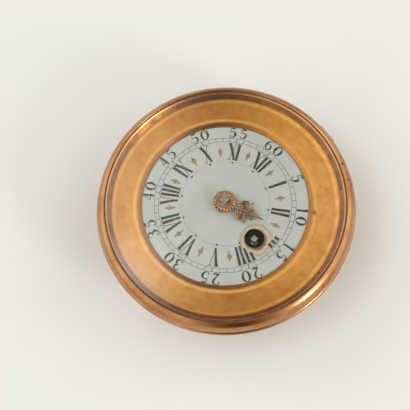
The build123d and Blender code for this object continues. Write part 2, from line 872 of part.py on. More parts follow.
# Places of the click and of the pegs of the two potences
click_angle = heading(barrel_place, fusee_place) - click_lean
click_place = polar_place(barrel_place, click_pivot_distance, click_angle)
potence_column_y = verge_place[1] + pallet_length + potence_column_gap
potence_peg = (
    potence_start_x + potence_column_width / 2,
    potence_column_y + potence_column_depth / 2,
)
counter_peg = ((counter_start_x + counter_end_x) / 2, contrate_place[1])
pillar_places = [clock_place(pillar_place_radius, angle) for angle in pillar_clock_angles]
cock_leg_distance = balance_radius + cock_leg_gap + cock_leg_radius
cock_leg_places = [
    (verge_place[0] - cock_leg_distance, verge_place[1]),
    (verge_place[0] + cock_leg_distance, verge_place[1]),
]
stud_place_radius = hairspring_outer_radius + hairspring_thick / 2 + stud_gap + stud_width / 2
stud_place = polar_place(verge_place, stud_place_radius, hairspring_end_angle)

# Pillar plate, under the dial
plate_screw_places = []
for clock_angle in ring_screw_clock_angles:
    plate_screw_places.append(clock_place(pillar_plate_radius - plate_screw_inset, clock_angle))
with BuildPart() as pillar_plate:
    with BuildSketch(Plane.XY.offset(pillar_plate_bottom)):
        Circle(pillar_plate_radius)
        Circle(centre_bearing_radius + running_clear, mode=Mode.SUBTRACT)
        with Locations(fusee_place):
            Circle(fusee_bearing_radius + running_clear, mode=Mode.SUBTRACT)
        with Locations(barrel_place):
            Circle(barrel_shaft_radius + running_clear, mode=Mode.SUBTRACT)
        with Locations(third_place, contrate_place):
            Circle(slim_pivot_radius + running_clear, mode=Mode.SUBTRACT)
        with Locations(verge_place):
            Circle(verge_pivot_radius + running_clear, mode=Mode.SUBTRACT)
        with Locations(*foot_places):
            Circle(foot_radius + fit_clear, mode=Mode.SUBTRACT)
        with Locations(*pillar_places):
            Circle(pillar_peg_radius + fit_clear, mode=Mode.SUBTRACT)
        with Locations(motion_place, click_place, counter_peg):
            Circle(peg_radius + fit_clear, mode=Mode.SUBTRACT)
    extrude(amount=pillar_plate_thick)
    with BuildSketch(Plane.XY.offset(pillar_plate_top)):
        with Locations(*plate_screw_places):
            Circle(screw_radius + fit_clear)
    extrude(amount=-screw_depth, mode=Mode.SUBTRACT)
pillar_plate.part.label = "pillar_plate"
export_step(pillar_plate.part, "parts/pillar_plate.step")

# Top plate, at the balance side
with BuildPart() as top_plate:
    with BuildSketch(Plane.XY.offset(top_plate_bottom)):
        Circle(top_plate_radius)
        Circle(centre_pivot_radius + running_clear, mode=Mode.SUBTRACT)
        with Locations(fusee_place):
            Circle(fusee_pivot_radius + running_clear, mode=Mode.SUBTRACT)
        with Locations(barrel_place):
            Circle(barrel_pivot_radius + running_clear, mode=Mode.SUBTRACT)
        with Locations(third_place, contrate_place):
            Circle(slim_pivot_radius + running_clear, mode=Mode.SUBTRACT)
        with Locations(verge_place):
            Circle(verge_passage_radius, mode=Mode.SUBTRACT)
        with Locations(*pillar_places):
            Circle(pillar_peg_radius + fit_clear, mode=Mode.SUBTRACT)
        with Locations(*cock_leg_places):
            Circle(cock_screw_radius + fit_clear, mode=Mode.SUBTRACT)
        with Locations(potence_peg, stud_place):
            Circle(stud_peg_radius + fit_clear, mode=Mode.SUBTRACT)
    extrude(amount=top_plate_thick)
top_plate.part.label = "top_plate"
export_step(top_plate.part, "parts/top_plate.step")

# Turned pillars between the plates
with BuildPart() as pillars:
    for place, clock_angle in zip(pillar_places, pillar_clock_angles):
        with BuildSketch(upright_plane(place)):
            draw_turned(
                top_plate_bottom - pillar_peg_length,
                (pillar_peg_radius, top_plate_top),
                (pillar_foot_radius, top_plate_top + pillar_foot_height),
                (pillar_waist_radius, pillar_plate_bottom - pillar_foot_height),
                (pillar_foot_radius, pillar_plate_bottom),
                (pillar_peg_radius, pillar_plate_top),
            )
        revolve(axis=upright_axis(place))
        pin_plane = Plane(
            origin=(place[0], place[1], top_plate_bottom - pillar_pin_radius - pillar_pin_gap),
            x_dir=(0, 0, 1),
            z_dir=(*clock_place(1, clock_angle), 0),
        )
        with BuildSketch(pin_plane):
            Circle(pillar_pin_radius + fit_clear)
        extrude(amount=pillar_foot_radius, both=True, mode=Mode.SUBTRACT)
pillars.part.label = "pillars"
export_step(pillars.part, "parts/pillars.step")

# Pins that hold the top plate on the pillars
with BuildPart() as pillar_pins:
    for place, clock_angle in zip(pillar_places, pillar_clock_angles):
        pin_plane = Plane(
            origin=(place[0], place[1], top_plate_bottom - pillar_pin_radius - pillar_pin_gap),
            x_dir=(0, 0, 1),
            z_dir=(*clock_place(1, clock_angle), 0),
        )
        with BuildSketch(pin_plane):
            Circle(pillar_pin_radius)
        extrude(amount=pillar_pin_length / 2, both=True)
pillar_pins.part.label = "pillar_pins"
export_step(pillar_pins.part, "parts/pillar_pins.step")

# Fusee cone: each turn of the chain has a groove, and the large end faces the great wheel
fusee_turn_height = fusee_height / fusee_turns
fusee_land = fusee_land_share * fusee_turn_height
fusee_turn_radii = []
for turn in range(fusee_turns):
    growth_share = turn / (fusee_turns - 1)
    fusee_turn_radii.append(
        fusee_small_radius + (fusee_large_radius - fusee_small_radius) * growth_share**1.5
    )
fusee_steps = []
for turn, radius in enumerate(fusee_turn_radii):
    turn_bottom = fusee_bottom + turn * fusee_turn_height
    fusee_steps.append((radius, turn_bottom + fusee_land / 2))
    fusee_steps.append((radius - fusee_groove_depth, turn_bottom + fusee_turn_height - fusee_land / 2))
fusee_steps.append((fusee_large_radius + fusee_groove_depth, fusee_top))
with BuildPart() as fusee_cone:
    with BuildSketch(upright_plane(fusee_place)):
        draw_turned(fusee_bottom, *fusee_steps)
    revolve(axis=upright_axis(fusee_place))
    with BuildSketch(Plane.XY.offset(fusee_bottom)):
        with Locations(fusee_place):
            Circle(fusee_shaft_radius + fit_clear)
    extrude(amount=fusee_height, mode=Mode.SUBTRACT)
fusee_cone.part.label = "fusee_cone"
export_step(fusee_cone.part, "parts/fusee_cone.step")

# Fusee arbor with the winding square under the hole in the dial
with BuildPart() as fusee_arbor:
    with BuildSketch(upright_plane(fusee_place)):
        draw_turned(
            top_plate_bottom + end_shake,
            (fusee_pivot_radius, top_plate_top + end_shake),
            (fusee_shaft_radius, pillar_plate_bottom - end_shake),
            (fusee_bearing_radius, pillar_plate_top + end_shake),
        )
    revolve(axis=upright_axis(fusee_place))
    with BuildSketch(Plane.XY.offset(pillar_plate_top + end_shake)):
        with Locations(fusee_place):
            Rectangle(winding_square, winding_square)
    extrude(amount=dial_top - winding_square_drop - pillar_plate_top - end_shake)
fusee_arbor.part.label = "fusee_arbor"
export_step(fusee_arbor.part, "parts/fusee_arbor.step")

# Great wheel, free on the fusee arbor
great_angle = heading(fusee_place, centre_place)
with BuildPart() as great_wheel:
    with BuildSketch(Plane.XY.offset(great_bottom)):
        draw_toothed(fusee_place, great_teeth, great_module, wheel_tooth_shares, great_angle)
    extrude(amount=great_thick)
    with BuildSketch(Plane.XY.offset(great_bottom)):
        draw_crossings(
            fusee_place,
            great_hub_radius,
            great_radius - great_rim,
            great_arm,
            crossing_count,
            great_angle,
        )
        with Locations(fusee_place):
            Circle(fusee_shaft_radius + running_clear)
    extrude(amount=great_thick, mode=Mode.SUBTRACT)
great_wheel.part.label = "great_wheel"
export_step(great_wheel.part, "parts/great_wheel.step")

# Barrel, open at the top until its lid is in
barrel_top = great_top
with BuildPart() as barrel:
    with BuildSketch(Plane.XY.offset(fusee_bottom)):
        with Locations(barrel_place):
            Circle(barrel_radius)
    extrude(amount=barrel_top - fusee_bottom)
    with BuildSketch(Plane.XY.offset(fusee_bottom + barrel_floor)):
        with Locations(barrel_place):
            Circle(barrel_radius - barrel_wall)
    extrude(amount=barrel_top - fusee_bottom - barrel_floor, mode=Mode.SUBTRACT)
    with BuildSketch(Plane.XY.offset(fusee_bottom)):
        with Locations(barrel_place):
            Circle(barrel_shaft_radius + running_clear)
    extrude(amount=barrel_floor, mode=Mode.SUBTRACT)
barrel.part.label = "barrel"
export_step(barrel.part, "parts/barrel.step")

# Lid of the barrel
with BuildPart() as barrel_lid:
    with BuildSketch(Plane.XY.offset(barrel_top - barrel_lid_thick)):
        with Locations(barrel_place):
            Circle(barrel_radius - barrel_wall - fit_clear)
            Circle(barrel_shaft_radius + running_clear, mode=Mode.SUBTRACT)
    extrude(amount=barrel_lid_thick)
barrel_lid.part.label = "barrel_lid"
export_step(barrel_lid.part, "parts/barrel_lid.step")

# Barrel arbor, held by the set-up ratchet on the dial side of the pillar plate
ratchet_bottom = pillar_plate_top + end_shake
ratchet_top = ratchet_bottom + ratchet_thick
with BuildPart() as barrel_arbor:
    with BuildSketch(upright_plane(barrel_place)):
        draw_turned(
            top_plate_bottom + end_shake,
            (barrel_pivot_radius, top_plate_top + end_shake),
            (barrel_shaft_radius, fusee_bottom + barrel_floor + end_shake),
            (barrel_hub_radius, barrel_top - barrel_lid_thick - end_shake),
            (barrel_shaft_radius, ratchet_bottom),
            (barrel_pivot_radius, ratchet_top + end_shake),
        )
    revolve(axis=upright_axis(barrel_place))
barrel_arbor.part.label = "barrel_arbor"
export_step(barrel_arbor.part, "parts/barrel_arbor.step")

# Mainspring, as one wound pack between the hub and the barrel wall
with BuildPart() as mainspring:
    with BuildSketch(Plane.XY.offset(fusee_bottom + barrel_floor + 2 * end_shake)):
        with Locations(barrel_place):
            Circle(barrel_radius - barrel_wall - spring_wall_gap)
            Circle(barrel_hub_radius + spring_wall_gap, mode=Mode.SUBTRACT)
    extrude(amount=barrel_top - fusee_bottom - barrel_floor - barrel_lid_thick - 4 * end_shake)
mainspring.part.label = "mainspring"
export_step(mainspring.part, "parts/mainspring.step")

# Chain from the barrel to the middle groove of the fusee, as a flat band
chain_turn = fusee_turns // 2
chain_groove_radius = fusee_turn_radii[chain_turn] - fusee_groove_depth
chain_middle = fusee_bottom + (chain_turn + 0.5) * fusee_turn_height
chain_barrel_radius = barrel_radius + chain_clear + chain_thick / 2
chain_fusee_radius = chain_groove_radius + chain_clear + chain_thick / 2
chain_span = math.dist(barrel_place, fusee_place)
chain_side = heading(barrel_place, fusee_place) + math.degrees(
    math.acos((chain_barrel_radius - chain_fusee_radius) / chain_span)
)
with BuildPart() as fusee_chain:
    with BuildSketch(Plane.XY.offset(chain_middle - chain_height / 2)):
        with BuildLine():
            CenterArc(barrel_place, chain_barrel_radius, chain_side, chain_barrel_wrap)
            Line(
                polar_place(barrel_place, chain_barrel_radius, chain_side),
                polar_place(fusee_place, chain_fusee_radius, chain_side),
            )
            CenterArc(fusee_place, chain_fusee_radius, chain_side, -chain_fusee_wrap)
        trace(line_width=chain_thick)
    extrude(amount=chain_height)
fusee_chain.part.label = "fusee_chain"
export_step(fusee_chain.part, "parts/fusee_chain.step")

# Set-up ratchet on the barrel arbor, with slanted teeth
with BuildPart() as setup_ratchet:
    with BuildSketch(Plane.XY.offset(ratchet_bottom)):
        ratchet_points = []
        for tooth in range(ratchet_teeth):
            tooth_angle = click_angle + tooth * 360 / ratchet_teeth
            ratchet_points.append(
                polar_place(barrel_place, ratchet_radius - ratchet_tooth_depth, tooth_angle)
            )
            ratchet_points.append(polar_place(barrel_place, ratchet_radius, tooth_angle))
        with BuildLine():
            Polyline(*ratchet_points, close=True)
        make_face()
        with Locations(barrel_place):
            Circle(barrel_pivot_radius + fit_clear, mode=Mode.SUBTRACT)
    extrude(amount=ratchet_thick)
setup_ratchet.part.label = "setup_ratchet"
export_step(setup_ratchet.part, "parts/setup_ratchet.step")

# Click that holds the ratchet, with a peg in the pillar plate
click_nose_end = ratchet_radius + click_gap
with BuildPart() as setup_click:
    with BuildSketch(Plane.XY.offset(ratchet_bottom)):
        with BuildLine():
            Polyline(
                polar_place(barrel_place, click_nose_end, click_angle),
                polar_place(click_place, click_boss_radius, click_angle + 90),
                polar_place(click_place, click_boss_radius, click_angle - 90),
                close=True,
            )
        make_face()
        with Locations(click_place):
            Circle(click_boss_radius)
    extrude(amount=ratchet_thick)
    with BuildSketch(Plane.XY.offset(ratchet_bottom)):
        with Locations(click_place):
            Circle(peg_radius)
    extrude(amount=-end_shake - peg_depth)
setup_click.part.label = "setup_click"
export_step(setup_click.part, "parts/setup_click.step")

# Centre arbor with its pinion and the post that carries the cannon
pinion_bottom = great_bottom - centre_pinion_overlap
pinion_top = great_top + centre_pinion_overlap
with BuildPart() as centre_arbor:
    with BuildSketch(upright_plane(centre_place)):
        draw_turned(
            top_plate_bottom + end_shake,
            (centre_pivot_radius, top_plate_top + end_shake),
            (centre_shaft_radius, pinion_bottom),
            (centre_seat_radius, pillar_plate_bottom - end_shake),
            (centre_bearing_radius, pillar_plate_top + end_shake),
            (centre_post_radius, cannon_top - cannon_tip_gap),
        )
    revolve(axis=upright_axis(centre_place))
    with BuildSketch(Plane.XY.offset(pinion_bottom)):
        draw_toothed(
            centre_place,
            centre_pinion_leaves,
            great_module,
            pinion_leaf_shares,
            great_angle + 180 + 180 / centre_pinion_leaves,
        )
    extrude(amount=pinion_top - pinion_bottom)
centre_arbor.part.label = "centre_arbor"
export_step(centre_arbor.part, "parts/centre_arbor.step")

# Centre wheel
third_angle = heading(centre_place, third_place)
with BuildPart() as centre_wheel:
    with BuildSketch(Plane.XY.offset(centre_bottom)):
        draw_toothed(centre_place, centre_teeth, centre_module, wheel_tooth_shares, third_angle)
    extrude(amount=centre_thick)
    with BuildSketch(Plane.XY.offset(centre_bottom)):
        draw_crossings(
            centre_place,
            centre_hub_radius,
            centre_radius - centre_rim,
            centre_arm,
            crossing_count,
            third_angle,
        )
        Circle(centre_seat_radius + fit_clear)
    extrude(amount=centre_thick, mode=Mode.SUBTRACT)
centre_wheel.part.label = "centre_wheel"
export_step(centre_wheel.part, "parts/centre_wheel.step")

# Third arbor with its pinion at the level of the centre wheel
third_pinion_bottom = centre_bottom - end_shake
third_pinion_top = centre_top + end_shake
with BuildPart() as third_arbor:
    with BuildSketch(upright_plane(third_place)):
        draw_turned(
            top_plate_bottom + end_shake,
            (slim_pivot_radius, top_plate_top + end_shake),
            (third_shaft_radius, third_pinion_bottom),
            (slim_pivot_radius, pillar_plate_top - end_shake),
        )
    revolve(axis=upright_axis(third_place))
    with BuildSketch(Plane.XY.offset(third_pinion_bottom)):
        draw_toothed(
            third_place,
            third_pinion_leaves,
            centre_module,
            pinion_leaf_shares,
            third_angle + 180 + 180 / third_pinion_leaves,
        )
    extrude(amount=third_pinion_top - third_pinion_bottom)
third_arbor.part.label = "third_arbor"
export_step(third_arbor.part, "parts/third_arbor.step")

# Third wheel
with BuildPart() as third_wheel:
    with BuildSketch(Plane.XY.offset(third_bottom)):
        draw_toothed(third_place, third_teeth, third_module, wheel_tooth_shares, contrate_turn)
    extrude(amount=third_thick)
    with BuildSketch(Plane.XY.offset(third_bottom)):
        draw_crossings(
            third_place,
            third_hub_radius,
            third_radius - third_rim,
            third_arm,
            crossing_count,
            contrate_turn,
        )
        with Locations(third_place):
            Circle(third_shaft_radius + fit_clear)
    extrude(amount=third_thick, mode=Mode.SUBTRACT)
third_wheel.part.label = "third_wheel"
export_step(third_wheel.part, "parts/third_wheel.step")

# Contrate arbor with its pinion at the level of the third wheel
third_middle = third_bottom + third_thick / 2
with BuildPart() as contrate_arbor:
    with BuildSketch(upright_plane(contrate_place)):
        draw_turned(
            top_plate_bottom + end_shake,
            (slim_pivot_radius, top_plate_top + end_shake),
            (contrate_shaft_radius, third_middle - contrate_pinion_height / 2),
            (contrate_shaft_radius - end_shake, pillar_plate_bottom - end_shake),
            (slim_pivot_radius, pillar_plate_top - end_shake),
        )
    revolve(axis=upright_axis(contrate_place))
    with BuildSketch(Plane.XY.offset(third_middle - contrate_pinion_height / 2)):
        draw_toothed(
            contrate_place,
            contrate_pinion_leaves,
            third_module,
            pinion_leaf_shares,
            contrate_turn + 180 + 180 / contrate_pinion_leaves,
        )
    extrude(amount=contrate_pinion_height)
contrate_arbor.part.label = "contrate_arbor"
export_step(contrate_arbor.part, "parts/contrate_arbor.step")

# Contrate wheel: a crossed disc whose teeth stand up from the rim.
# Each tooth narrows in one step from its root to its tip.
contrate_inner = contrate_radius - contrate_rim
contrate_pitch_angle = 360 / contrate_teeth
with BuildPart() as contrate_wheel:
    with BuildSketch(Plane.XY.offset(contrate_bottom)):
        with Locations(contrate_place):
            Circle(contrate_radius)
    extrude(amount=contrate_disc_thick)
    with BuildSketch(Plane.XY.offset(contrate_bottom)):
        draw_crossings(
            contrate_place,
            contrate_hub_radius,
            contrate_inner,
            contrate_arm,
            crossing_count,
            0,
        )
        with Locations(contrate_place):
            Circle(contrate_shaft_radius + fit_clear)
    extrude(amount=contrate_disc_thick, mode=Mode.SUBTRACT)
    for level, top, thick_share in (
        (contrate_top, contrate_pitch, contrate_root_share),
        (contrate_pitch, contrate_tip, contrate_tip_share),
    ):
        with BuildSketch(Plane.XY.offset(level)):
            for tooth in range(contrate_teeth):
                middle = tooth * contrate_pitch_angle
                half = thick_share * contrate_pitch_angle / 2
                with BuildLine():
                    Polyline(
                        polar_place(contrate_place, contrate_inner, middle - half),
                        polar_place(contrate_place, contrate_radius, middle - half),
                        polar_place(contrate_place, contrate_radius, middle + half),
                        polar_place(contrate_place, contrate_inner, middle + half),
                        close=True,
                    )
                make_face()
        extrude(amount=top - level)
contrate_wheel.part.label = "contrate_wheel"
export_step(contrate_wheel.part, "parts/contrate_wheel.step")


def level_plane(station_x):
    """Plane across the level crown arbor, with local x along +Y and local y up."""
    return Plane(
        origin=(station_x, contrate_place[1], crown_axis),
        x_dir=(0, 1, 0),
        z_dir=(1, 0, 0),
    )


# Crown arbor, level between the two potences, with a pinion above the contrate teeth
with BuildPart() as crown_arbor:
    with BuildSketch(level_plane(counter_start_x + end_shake)):
        Circle(crown_pivot_radius)
    extrude(amount=potence_end_x - counter_start_x - 2 * end_shake)
    with BuildSketch(level_plane(counter_end_x + end_shake)):
        Circle(crown_shaft_radius)
    extrude(amount=potence_start_x - counter_end_x - 2 * end_shake)
    with BuildSketch(level_plane(pinion_mid_x - crown_pinion_length / 2)):
        draw_toothed(
            (0, 0),
            crown_pinion_leaves,
            crown_module,
            pinion_leaf_shares,
            -90 + 180 / crown_pinion_leaves,
        )
    extrude(amount=crown_pinion_length)
crown_arbor.part.label = "crown_arbor"
export_step(crown_arbor.part, "parts/crown_arbor.step")

# Crown wheel: a disc whose slanted teeth point along the arbor at the verge
crown_inner = crown_outer_radius - crown_band
crown_tooth_width = crown_tooth_share * 2 * math.pi * crown_outer_radius / crown_teeth
with BuildPart() as crown_wheel:
    with BuildSketch(level_plane(crown_disc_start_x)):
        Circle(crown_outer_radius)
        Circle(crown_shaft_radius + fit_clear, mode=Mode.SUBTRACT)
    extrude(amount=crown_disc_thick)
    for tooth in range(crown_teeth):
        turn = math.radians(tooth * 360 / crown_teeth)
        outward = (0, math.cos(turn), math.sin(turn))
        around = (0, -math.sin(turn), math.cos(turn))
        tooth_plane = Plane(
            origin=(
                crown_disc_end_x,
                contrate_place[1] + crown_inner * outward[1],
                crown_axis + crown_inner * outward[2],
            ),
            x_dir=around,
            z_dir=outward,
        )
        with BuildSketch(tooth_plane):
            with BuildLine():
                Polyline(
                    (-crown_tooth_width / 2, -crown_disc_thick / 2),
                    (crown_tooth_width / 2, -crown_disc_thick / 2),
                    (crown_tooth_width / 2, 0),
                    (-crown_tooth_width / 2, crown_tooth_length),
                    close=True,
                )
            make_face()
        extrude(amount=crown_band * crown_tooth_share)
crown_wheel.part.label = "crown_wheel"
export_step(crown_wheel.part, "parts/crown_wheel.step")

# Potence: column on the top plate whose nose holds the crown arbor beside the verge
nose_y = verge_place[1] - potence_nose
with BuildPart() as potence:
    with BuildSketch(Plane.XY.offset(crown_axis - potence_half_height)):
        with Locations((potence_start_x, nose_y)):
            Rectangle(
                potence_end_x - potence_start_x,
                potence_column_y + potence_column_depth - nose_y,
                align=(Align.MIN, Align.MIN),
            )
    extrude(amount=2 * potence_half_height)
    with BuildSketch(Plane.XY.offset(top_plate_top)):
        with Locations((potence_start_x, potence_column_y)):
            Rectangle(
                potence_column_width, potence_column_depth, align=(Align.MIN, Align.MIN)
            )
    extrude(amount=crown_axis + potence_half_height - top_plate_top)
    with BuildSketch(Plane.XY.offset(top_plate_top)):
        with Locations(potence_peg):
            Circle(stud_peg_radius)
    extrude(amount=-peg_depth)
    with BuildSketch(level_plane(potence_start_x)):
        Circle(crown_pivot_radius + running_clear)
    extrude(amount=potence_thick, mode=Mode.SUBTRACT)
potence.part.label = "potence"
export_step(potence.part, "parts/potence.step")

# Counter potence, hanging from the pillar plate inside the ring of contrate teeth
with BuildPart() as counter_potence:
    with BuildSketch(Plane.XY.offset(contrate_tip + counter_potence_gap - layer_gap)):
        with Locations((counter_start_x, contrate_place[1])):
            Rectangle(
                counter_potence_thick,
                2 * counter_potence_half,
                align=(Align.MIN, Align.CENTER),
            )
    extrude(amount=pillar_plate_bottom - contrate_tip - counter_potence_gap + layer_gap)
    with BuildSketch(Plane.XY.offset(pillar_plate_bottom)):
        with Locations(counter_peg):
            Circle(peg_radius)
    extrude(amount=peg_depth)
    with BuildSketch(level_plane(counter_start_x)):
        Circle(crown_pivot_radius + running_clear)
    extrude(amount=counter_potence_thick, mode=Mode.SUBTRACT)
counter_potence.part.label = "counter_potence"
export_step(counter_potence.part, "parts/counter_potence.step")

# Verge: balance staff with two pallets that face the top and the bottom of the crown wheel
pallet_rise = crown_outer_radius - crown_band / 2
with BuildPart() as verge:
    with BuildSketch(upright_plane(verge_place)):
        draw_turned(
            cock_bottom + 2 * end_shake,
            (verge_pivot_radius, cock_top + end_shake),
            (verge_seat_radius, balance_top + end_shake),
            (verge_staff_radius, pillar_plate_bottom - end_shake),
            (verge_pivot_radius, pillar_plate_top - end_shake),
        )
    revolve(axis=upright_axis(verge_place))
    for side in (1, -1):
        pallet_angle = 180 + side * pallet_half_angle
        with BuildSketch(Plane.XY.offset(crown_axis + side * pallet_rise - pallet_height / 2)):
            with Locations(polar_place(verge_place, pallet_length / 2, pallet_angle)):
                Rectangle(pallet_length - pallet_thick / 2, pallet_thick, rotation=pallet_angle)
        extrude(amount=pallet_height)
verge.part.label = "verge"
export_step(verge.part, "parts/verge.step")

# Balance wheel with three arms
with BuildPart() as balance_wheel:
    with BuildSketch(Plane.XY.offset(balance_bottom)):
        with Locations(verge_place):
            Circle(balance_radius)
    extrude(amount=balance_thick)
    with BuildSketch(Plane.XY.offset(balance_bottom)):
        draw_crossings(
            verge_place,
            balance_hub_radius,
            balance_radius - balance_rim,
            balance_arm,
            balance_arms,
            90,
        )
        with Locations(verge_place):
            Circle(verge_seat_radius + fit_clear)
    extrude(amount=balance_thick, mode=Mode.SUBTRACT)
balance_wheel.part.label = "balance_wheel"
export_step(balance_wheel.part, "parts/balance_wheel.step")


def hairspring_edge(lean):
    """Points on one edge of the flat spiral, leaning in or out by half its thickness."""
    steps = hairspring_turns * hairspring_steps_per_turn
    points = []
    for step in range(steps + 1):
        growth_share = step / steps
        radius = hairspring_inner_radius + lean
        radius += (hairspring_outer_radius - hairspring_inner_radius) * growth_share
        angle = hairspring_end_angle - 360 * hairspring_turns * (1 - growth_share)
        points.append(polar_place(verge_place, radius, angle))
    return points


# Balance spring, a flat spiral between the staff and the stud
with BuildPart() as balance_spring:
    with BuildSketch(Plane.XY.offset(hairspring_bottom)):
        inner_edge_points = hairspring_edge(-hairspring_thick / 2)
        outer_edge_points = hairspring_edge(hairspring_thick / 2)
        with BuildLine():
            Spline(*inner_edge_points)
            Line(inner_edge_points[-1], outer_edge_points[-1])
            Spline(*reversed(outer_edge_points))
            Line(outer_edge_points[0], inner_edge_points[0])
        make_face()
    extrude(amount=hairspring_height)
balance_spring.part.label = "balance_spring"
export_step(balance_spring.part, "parts/balance_spring.step")

# Stud that holds the outer end of the balance spring, pegged into the top plate
with BuildPart() as spring_stud:
    with BuildSketch(Plane.XY.offset(hairspring_bottom - stud_drop)):
        with Locations(stud_place):
            Rectangle(stud_width, stud_width, rotation=hairspring_end_angle)
    extrude(amount=top_plate_bottom - hairspring_bottom + stud_drop)
    with BuildSketch(Plane.XY.offset(top_plate_bottom)):
        with Locations(stud_place):
            Circle(stud_peg_radius)
    extrude(amount=peg_depth)
spring_stud.part.label = "spring_stud"
export_step(spring_stud.part, "parts/spring_stud.step")

# Balance cock: a round pierced table bridged over the balance on two legs
with BuildPart() as balance_cock:
    with BuildSketch(Plane.XY.offset(cock_bottom)):
        with Locations(verge_place):
            Circle(cock_table_radius)
            SlotCenterToCenter(2 * cock_leg_distance, cock_arm_width)
            with PolarLocations(cock_window_place_radius, cock_windows, start_angle=90):
                Circle(cock_window_radius, mode=Mode.SUBTRACT)
            Circle(verge_pivot_radius + running_clear, mode=Mode.SUBTRACT)
    extrude(amount=cock_thick)
    with BuildSketch(Plane.XY.offset(cock_top)):
        with Locations(*cock_leg_places):
            Circle(cock_leg_radius)
    extrude(amount=top_plate_bottom - cock_top)
    with BuildSketch(Plane.XY.offset(cock_bottom)):
        with Locations(*cock_leg_places):
            Circle(cock_screw_radius + fit_clear)
    extrude(amount=top_plate_bottom - cock_bottom, mode=Mode.SUBTRACT)
balance_cock.part.label = "balance_cock"
export_step(balance_cock.part, "parts/balance_cock.step")

# Screws of the balance cock
with BuildPart() as cock_screws:
    with BuildSketch(Plane.XY.offset(cock_bottom)):
        with Locations(*cock_leg_places):
            Circle(cock_screw_radius)
    extrude(amount=top_plate_bottom - cock_bottom + screw_depth)
    with BuildSketch(Plane.XY.offset(cock_bottom)):
        with Locations(*cock_leg_places):
            Circle(cock_screw_head_radius)
    extrude(amount=-cock_screw_head_height)
    with BuildSketch(Plane.XY.offset(cock_bottom - cock_screw_head_height)):
        with Locations(*cock_leg_places):
            Rectangle(2 * cock_screw_head_radius, screw_slot_width)
    extrude(amount=screw_slot_depth, mode=Mode.SUBTRACT)
cock_screws.part.label = "cock_screws"
export_step(cock_screws.part, "parts/cock_screws.step")
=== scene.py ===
import bmesh
import bpy
import numpy as np
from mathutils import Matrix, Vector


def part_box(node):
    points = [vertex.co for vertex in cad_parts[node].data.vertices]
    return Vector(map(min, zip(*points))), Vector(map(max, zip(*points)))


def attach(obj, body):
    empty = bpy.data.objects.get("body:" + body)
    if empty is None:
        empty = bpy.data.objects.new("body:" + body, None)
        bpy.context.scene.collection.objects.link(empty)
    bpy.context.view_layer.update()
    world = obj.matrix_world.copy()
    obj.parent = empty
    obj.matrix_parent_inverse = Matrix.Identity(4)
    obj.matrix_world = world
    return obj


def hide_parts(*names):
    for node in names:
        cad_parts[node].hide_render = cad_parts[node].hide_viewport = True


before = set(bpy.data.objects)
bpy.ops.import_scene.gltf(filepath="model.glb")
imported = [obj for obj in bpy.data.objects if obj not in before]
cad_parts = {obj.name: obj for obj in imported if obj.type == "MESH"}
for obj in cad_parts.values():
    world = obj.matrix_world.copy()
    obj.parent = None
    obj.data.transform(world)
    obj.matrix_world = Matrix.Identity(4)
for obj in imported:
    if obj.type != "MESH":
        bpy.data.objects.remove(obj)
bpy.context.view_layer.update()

# Case drum
# The real drum is turned from brass and fire-gilt, with a half-round girth bead that the bezel
# closes on. One closed profile is carried round the clock's axis; all lengths are millimetres.
millimetre = 0.001
turn_steps = 720
weld_reach = 0.0005
crease_angle = np.radians(35)
bevel_angle = np.radians(40)


def span(node):
    """Lowest and highest corner of a CAD node, in millimetres."""
    low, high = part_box(node)
    return np.array(low) / millimetre, np.array(high) / millimetre


def add_object(name, data):
    """Object of a mesh, lamp or camera, put in the scene."""
    added = bpy.data.objects.new(name, data)
    bpy.context.scene.collection.objects.link(added)
    return added


def add_piece(name, points, faces, body, slot, material, *nodes):
    """Mesh of points in millimetres, with its faces turned outward and its sharp edges kept."""
    corners = points[faces]
    volume = np.einsum("ij,ij->", corners[:, 0], np.cross(corners[:, 1], corners[:, 2]))
    volume += np.einsum("ij,ij->", corners[:, 0], np.cross(corners[:, 2], corners[:, 3]))
    if volume < 0:
        faces = faces[:, ::-1]
    mesh = bpy.data.meshes.new(name)
    mesh.from_pydata((points * millimetre).tolist(), [], faces.tolist())
    work = bmesh.new()
    work.from_mesh(mesh)
    bmesh.ops.remove_doubles(work, verts=work.verts, dist=weld_reach * millimetre)
    work.to_mesh(mesh)
    work.free()
    mesh.shade_smooth()
    mesh.set_sharp_from_angle(angle=crease_angle)
    mesh.materials.append(material)
    piece = add_object(name, mesh)
    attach(piece, body)
    if nodes:
        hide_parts(*nodes)
    return piece


def grid_faces(rows, columns, close_rows=False, close_columns=False):
    """Quads between neighbours of a grid of points, closed on itself either way if asked."""
    row = np.arange(rows if close_rows else rows - 1)[:, None]
    column = np.arange(columns if close_columns else columns - 1)[None, :]
    row_after = (row + 1) % rows
    column_after = (column + 1) % columns
    quads = (
        row * columns + column,
        row_after * columns + column,
        row_after * columns + column_after,
        row * columns + column_after,
    )
    return np.stack(quads, -1).reshape(-1, 4)


def full_turn(steps):
    """Even angles of one full turn, in radians."""
    return np.linspace(0, 2 * np.pi, steps, endpoint=False)


def lathe(profile):
    """Closed profile of (radius, height) points carried once round the clock's axis."""
    turn = full_turn(turn_steps)[:, None]
    radius = profile[None, :, 0]
    height = np.broadcast_to(profile[None, :, 1], (turn_steps, len(profile)))
    points = np.stack([radius * np.cos(turn), radius * np.sin(turn), height], -1)
    return points.reshape(-1, 3), grid_faces(turn_steps, len(profile), True, True)


def arc(middle, radius, start, end, steps=17):
    """Points of a circle's arc about a middle, from a start to an end angle in degrees."""
    angle = np.radians(np.linspace(start, end, steps))
    return np.array(middle) + radius * np.stack([np.cos(angle), np.sin(angle)], 1)


def soften(piece, width):
    """Small bevel, of a width in millimetres, on the sharp edges of a piece."""
    bevel = piece.modifiers.new("soft_edges", "BEVEL")
    bevel.width = width * millimetre
    bevel.segments = 2
    bevel.limit_method = "ANGLE"
    bevel.angle_limit = bevel_angle
    bevel.harden_normals = True


